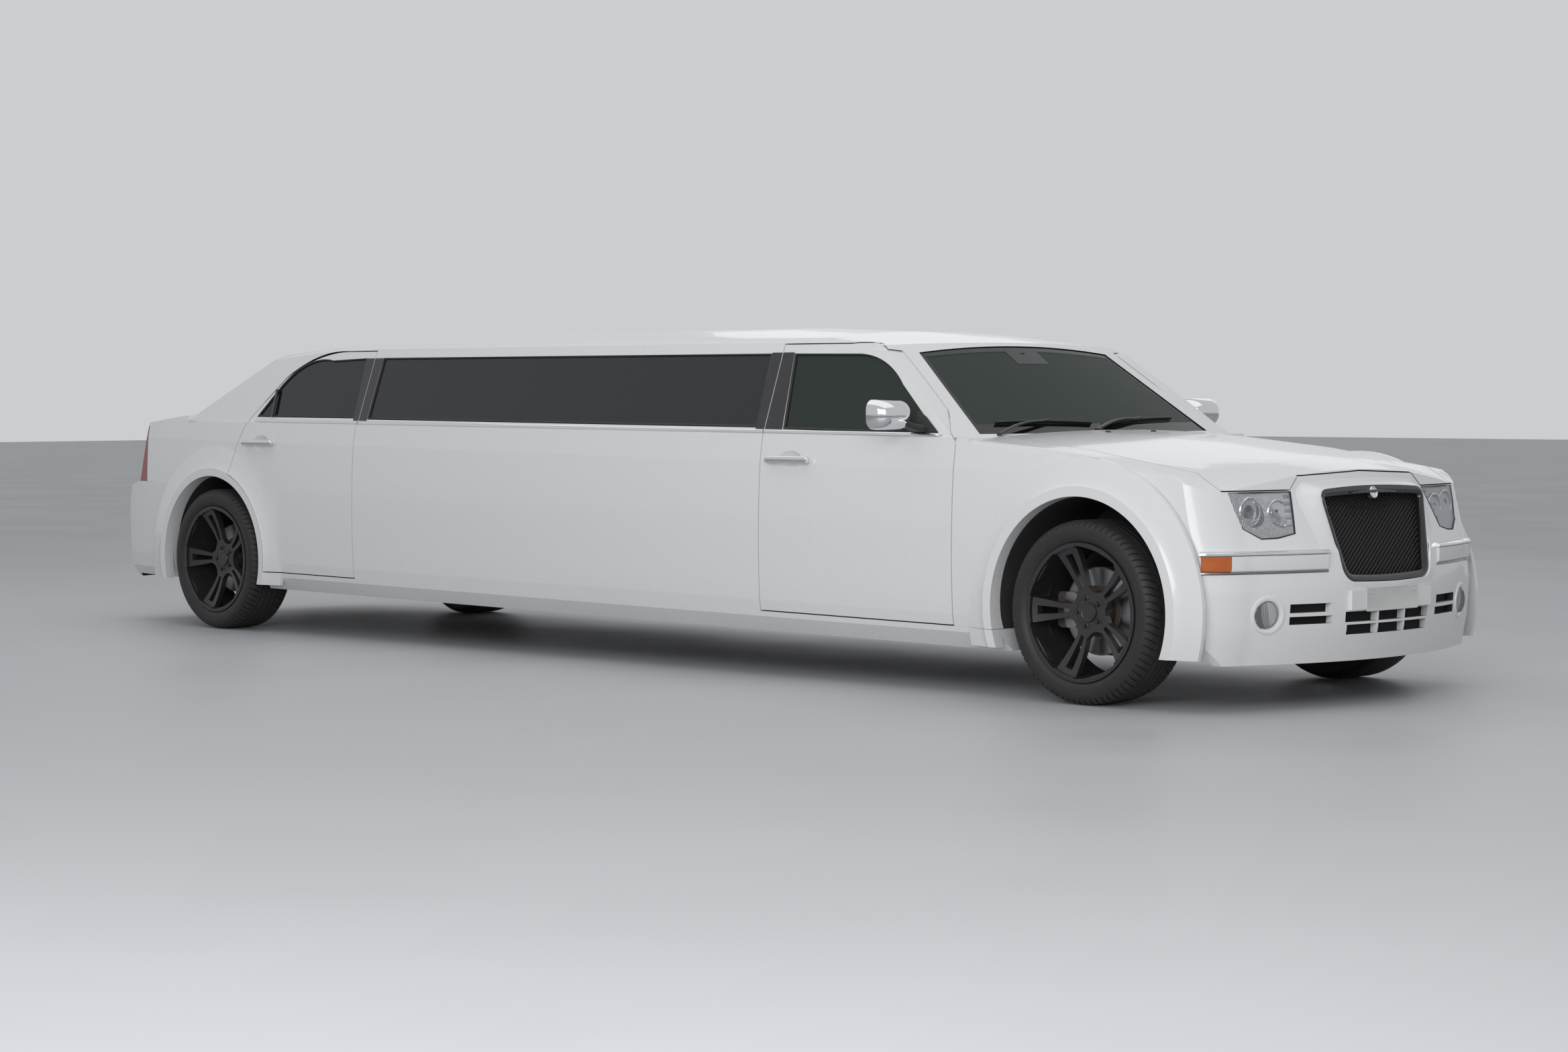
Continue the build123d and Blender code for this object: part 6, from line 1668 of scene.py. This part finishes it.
# Tail: upright red lamps with a finely ribbed lens, a bright strip over the blank rear plate with two plate lamps,
# and a bright moulding across the bumper. A painted corner of steel stands in front of each lamp.
tail_red, surface, place = finish("tail_red")
prism = (place.axes()[2] * 1300.0).sine()
feed(surface, {
    "Base Color": place.noise(9.0).blend((0.22, 0.004, 0.006, 1), (0.30, 0.006, 0.008, 1)),
    "Roughness": prism.ramp(-1.0, 1.0, 0.06, 0.14),
    "Coat Weight": 0.9,
    "Normal": place.bump(prism, 0.0006, 0.35),
})
stand_in("tail_lamps", "finished", merged("tail_lamps"), "tail_red", tail_red)
PANEL_SKIN, LAMP_SKIN = skin_of("quarter_panels"), skin_of("tail_lamps")
PANEL_END, LAMP_END = FRONT_AXLE - 6.400, FRONT_AXLE - 6.475
CORNER_FOOT, CORNER_HEAD, CORNER_ROWS, CORNER_STEPS = 0.7428, 0.900, 8, 6
SHEET, WITHIN = 0.008, 0.0008


def side_corner(side):
    """The painted steel that closes the body's side between the quarter panel's end and the tail lamp."""
    inward = Vector((0.0, -side, 0.0))
    rings = []
    for row in range(CORNER_ROWS + 1):
        z = CORNER_FOOT + (CORNER_HEAD - CORNER_FOOT) * row / CORNER_ROWS
        start = PANEL_SKIN.ray_cast(Vector((PANEL_END + WITHIN, side * 2.0, z)), inward)[0]
        end = LAMP_SKIN.ray_cast(Vector((LAMP_END - WITHIN, side * 2.0, z)), inward)[0]
        start.x, end.x = PANEL_END, LAMP_END
        spots = [start.lerp(end, step / CORNER_STEPS) for step in range(CORNER_STEPS + 1)]
        rings.append(spots + [spot + inward * SHEET for spot in reversed(spots)])
    return ringed(rings)


for name, side in SIDES:
    formed(f"quarter_corner_{name}", side_corner(side), "body", "paint", white_paint)


def across_tail(node, height, half, steps):
    """A path over a CAD node's skin at the car's rear, from one side to the other."""
    skin = skin_of(node)
    places = [half * (2 * k / steps - 1) for k in range(steps + 1)]
    return [(skin.ray_cast(Vector((-5.0, y, height)), ALONG)[0], -ALONG, UP, 1.0) for y in places]


STRIP = [(-0.004, -0.009), (0.004, -0.009), (0.0065, -0.006), (0.0070, 0.0), (0.0060, 0.006), (0.0030, 0.009),
         (-0.004, 0.009)]
formed("boot_strip", swept(across_tail("boot_lid", 0.945, 0.300, 24), STRIP), "boot_lid", "chrome", bright)
plate_lamps = [straight(rounded(0.008, 0.0045, 0.002), ALONG, UP,
                        [(FRONT_AXLE - 6.712, side * y, 0.9285) for y in (0.120, 0.165)]) for side in (-1, 1)]
formed("plate_lamps", joined(plate_lamps), "boot_lid", "lamp_lens", fog_glass)
TRIM = [(-0.004, -0.008), (0.0012, -0.008), (0.0022, -0.005), (0.0022, 0.005), (0.0012, 0.008), (-0.004, 0.008)]
bumper_path = across_tail("rear_bumper", 0.700, 0.720, 36)
formed("rear_bumper_strip", swept(bumper_path, TRIM), "body", "chrome", bright)


# Underside and engine bay: the floor is sealed black outside and carpeted inside, the frame and arms are black
# steel, the engine and gearbox cast aluminium, the exhaust bare steel and the tank moulded black plastic.
seal_coat, surface, place = finish("seal_coat")
spatter = place.noise(60.0, 5.0)
dust = place.noise(2.5)
feed(surface, {
    "Base Color": dust.blend((0.014, 0.014, 0.014, 1), (0.050, 0.048, 0.045, 1)),
    "Roughness": dust.ramp(0.3, 0.7, 0.68, 0.88),
    "Normal": place.bump(spatter, 0.0014, 0.7),
})
carpet, surface, place = finish("carpet")
tuft = place.noise(700.0, 2.0)
feed(surface, {
    "Base Color": tuft.blend((0.012, 0.012, 0.013, 1), (0.050, 0.050, 0.053, 1)),
    "Roughness": 0.95,
    "Normal": place.bump(tuft, 0.002, 0.8),
})
cast_alloy, surface, place = finish("cast_alloy")
cast = place.noise(240.0, 3.0)
feed(surface, {
    "Base Color": place.noise(7.0).blend((0.30, 0.30, 0.30, 1), (0.42, 0.42, 0.42, 1)),
    "Metallic": 0.85,
    "Roughness": cast.ramp(0.3, 0.7, 0.42, 0.58),
    "Normal": place.bump(cast, 0.0006, 0.6),
})
bare_steel, surface, place = finish("bare_steel")
tarnish = place.noise(6.0, 4.0)
feed(surface, {
    "Base Color": tarnish.blend((0.24, 0.21, 0.18, 1), (0.40, 0.39, 0.38, 1)),
    "Metallic": 0.95,
    "Roughness": tarnish.ramp(0.3, 0.7, 0.46, 0.30),
})


FLOOR_LOOKS_UP, FLOOR_HALF = 0.25, 0.80


def carpeted(face):
    """True for a face of the floor that the carpet lies on."""
    return face.normal.z > FLOOR_LOOKS_UP and abs(face.calc_center_median().y) < FLOOR_HALF


stand_in("floor_pan", "finished", parted(merged("floor_pan"), carpeted), "underbody", seal_coat, carpet)
UNDERSIDE = (
    ("front_frame", "underbody", satin_black), ("engine_block", "engine", cast_alloy),
    ("driveline", "steel", cast_alloy), ("exhaust", "exhaust", bare_steel), ("fuel_tank", "tank", moulded_black),
    ("front_suspension", "steel", satin_black), ("rear_suspension", "steel", satin_black),
    ("knuckle_right", "steel", disc_iron), ("knuckle_left", "steel", disc_iron),
)
for node, finish_slot, material in UNDERSIDE:
    stand_in(node, "finished", merged(node), finish_slot, material)
LID_STEPS = ((2.520, 0.92), (2.532, 1.0), (2.968, 1.0), (2.980, 0.92))
lid = swept([(Vector((x, 0.0, 0.802)), ACROSS, UP, scale) for x, scale in LID_STEPS], rounded(0.210, 0.014, 0.012))
formed("engine_cover", lid, "body", "engine", moulded_black)
TIP_X, TIP_Y, TIP_Z = -3.762, 0.380, 0.196
TIP_RINGS = ((0.0290, -0.070), (0.0360, -0.066), (0.0360, 0.000), (0.0345, 0.0022), (0.0325, 0.000),
             (0.0325, -0.014), (0.0100, -0.016))
for name, side in SIDES:
    tip = turned_at(Vector((TIP_X, side * TIP_Y, TIP_Z)), -ALONG, TIP_RINGS, 40)
    formed(f"exhaust_tip_{name}", tip, "body", "exhaust", bright)
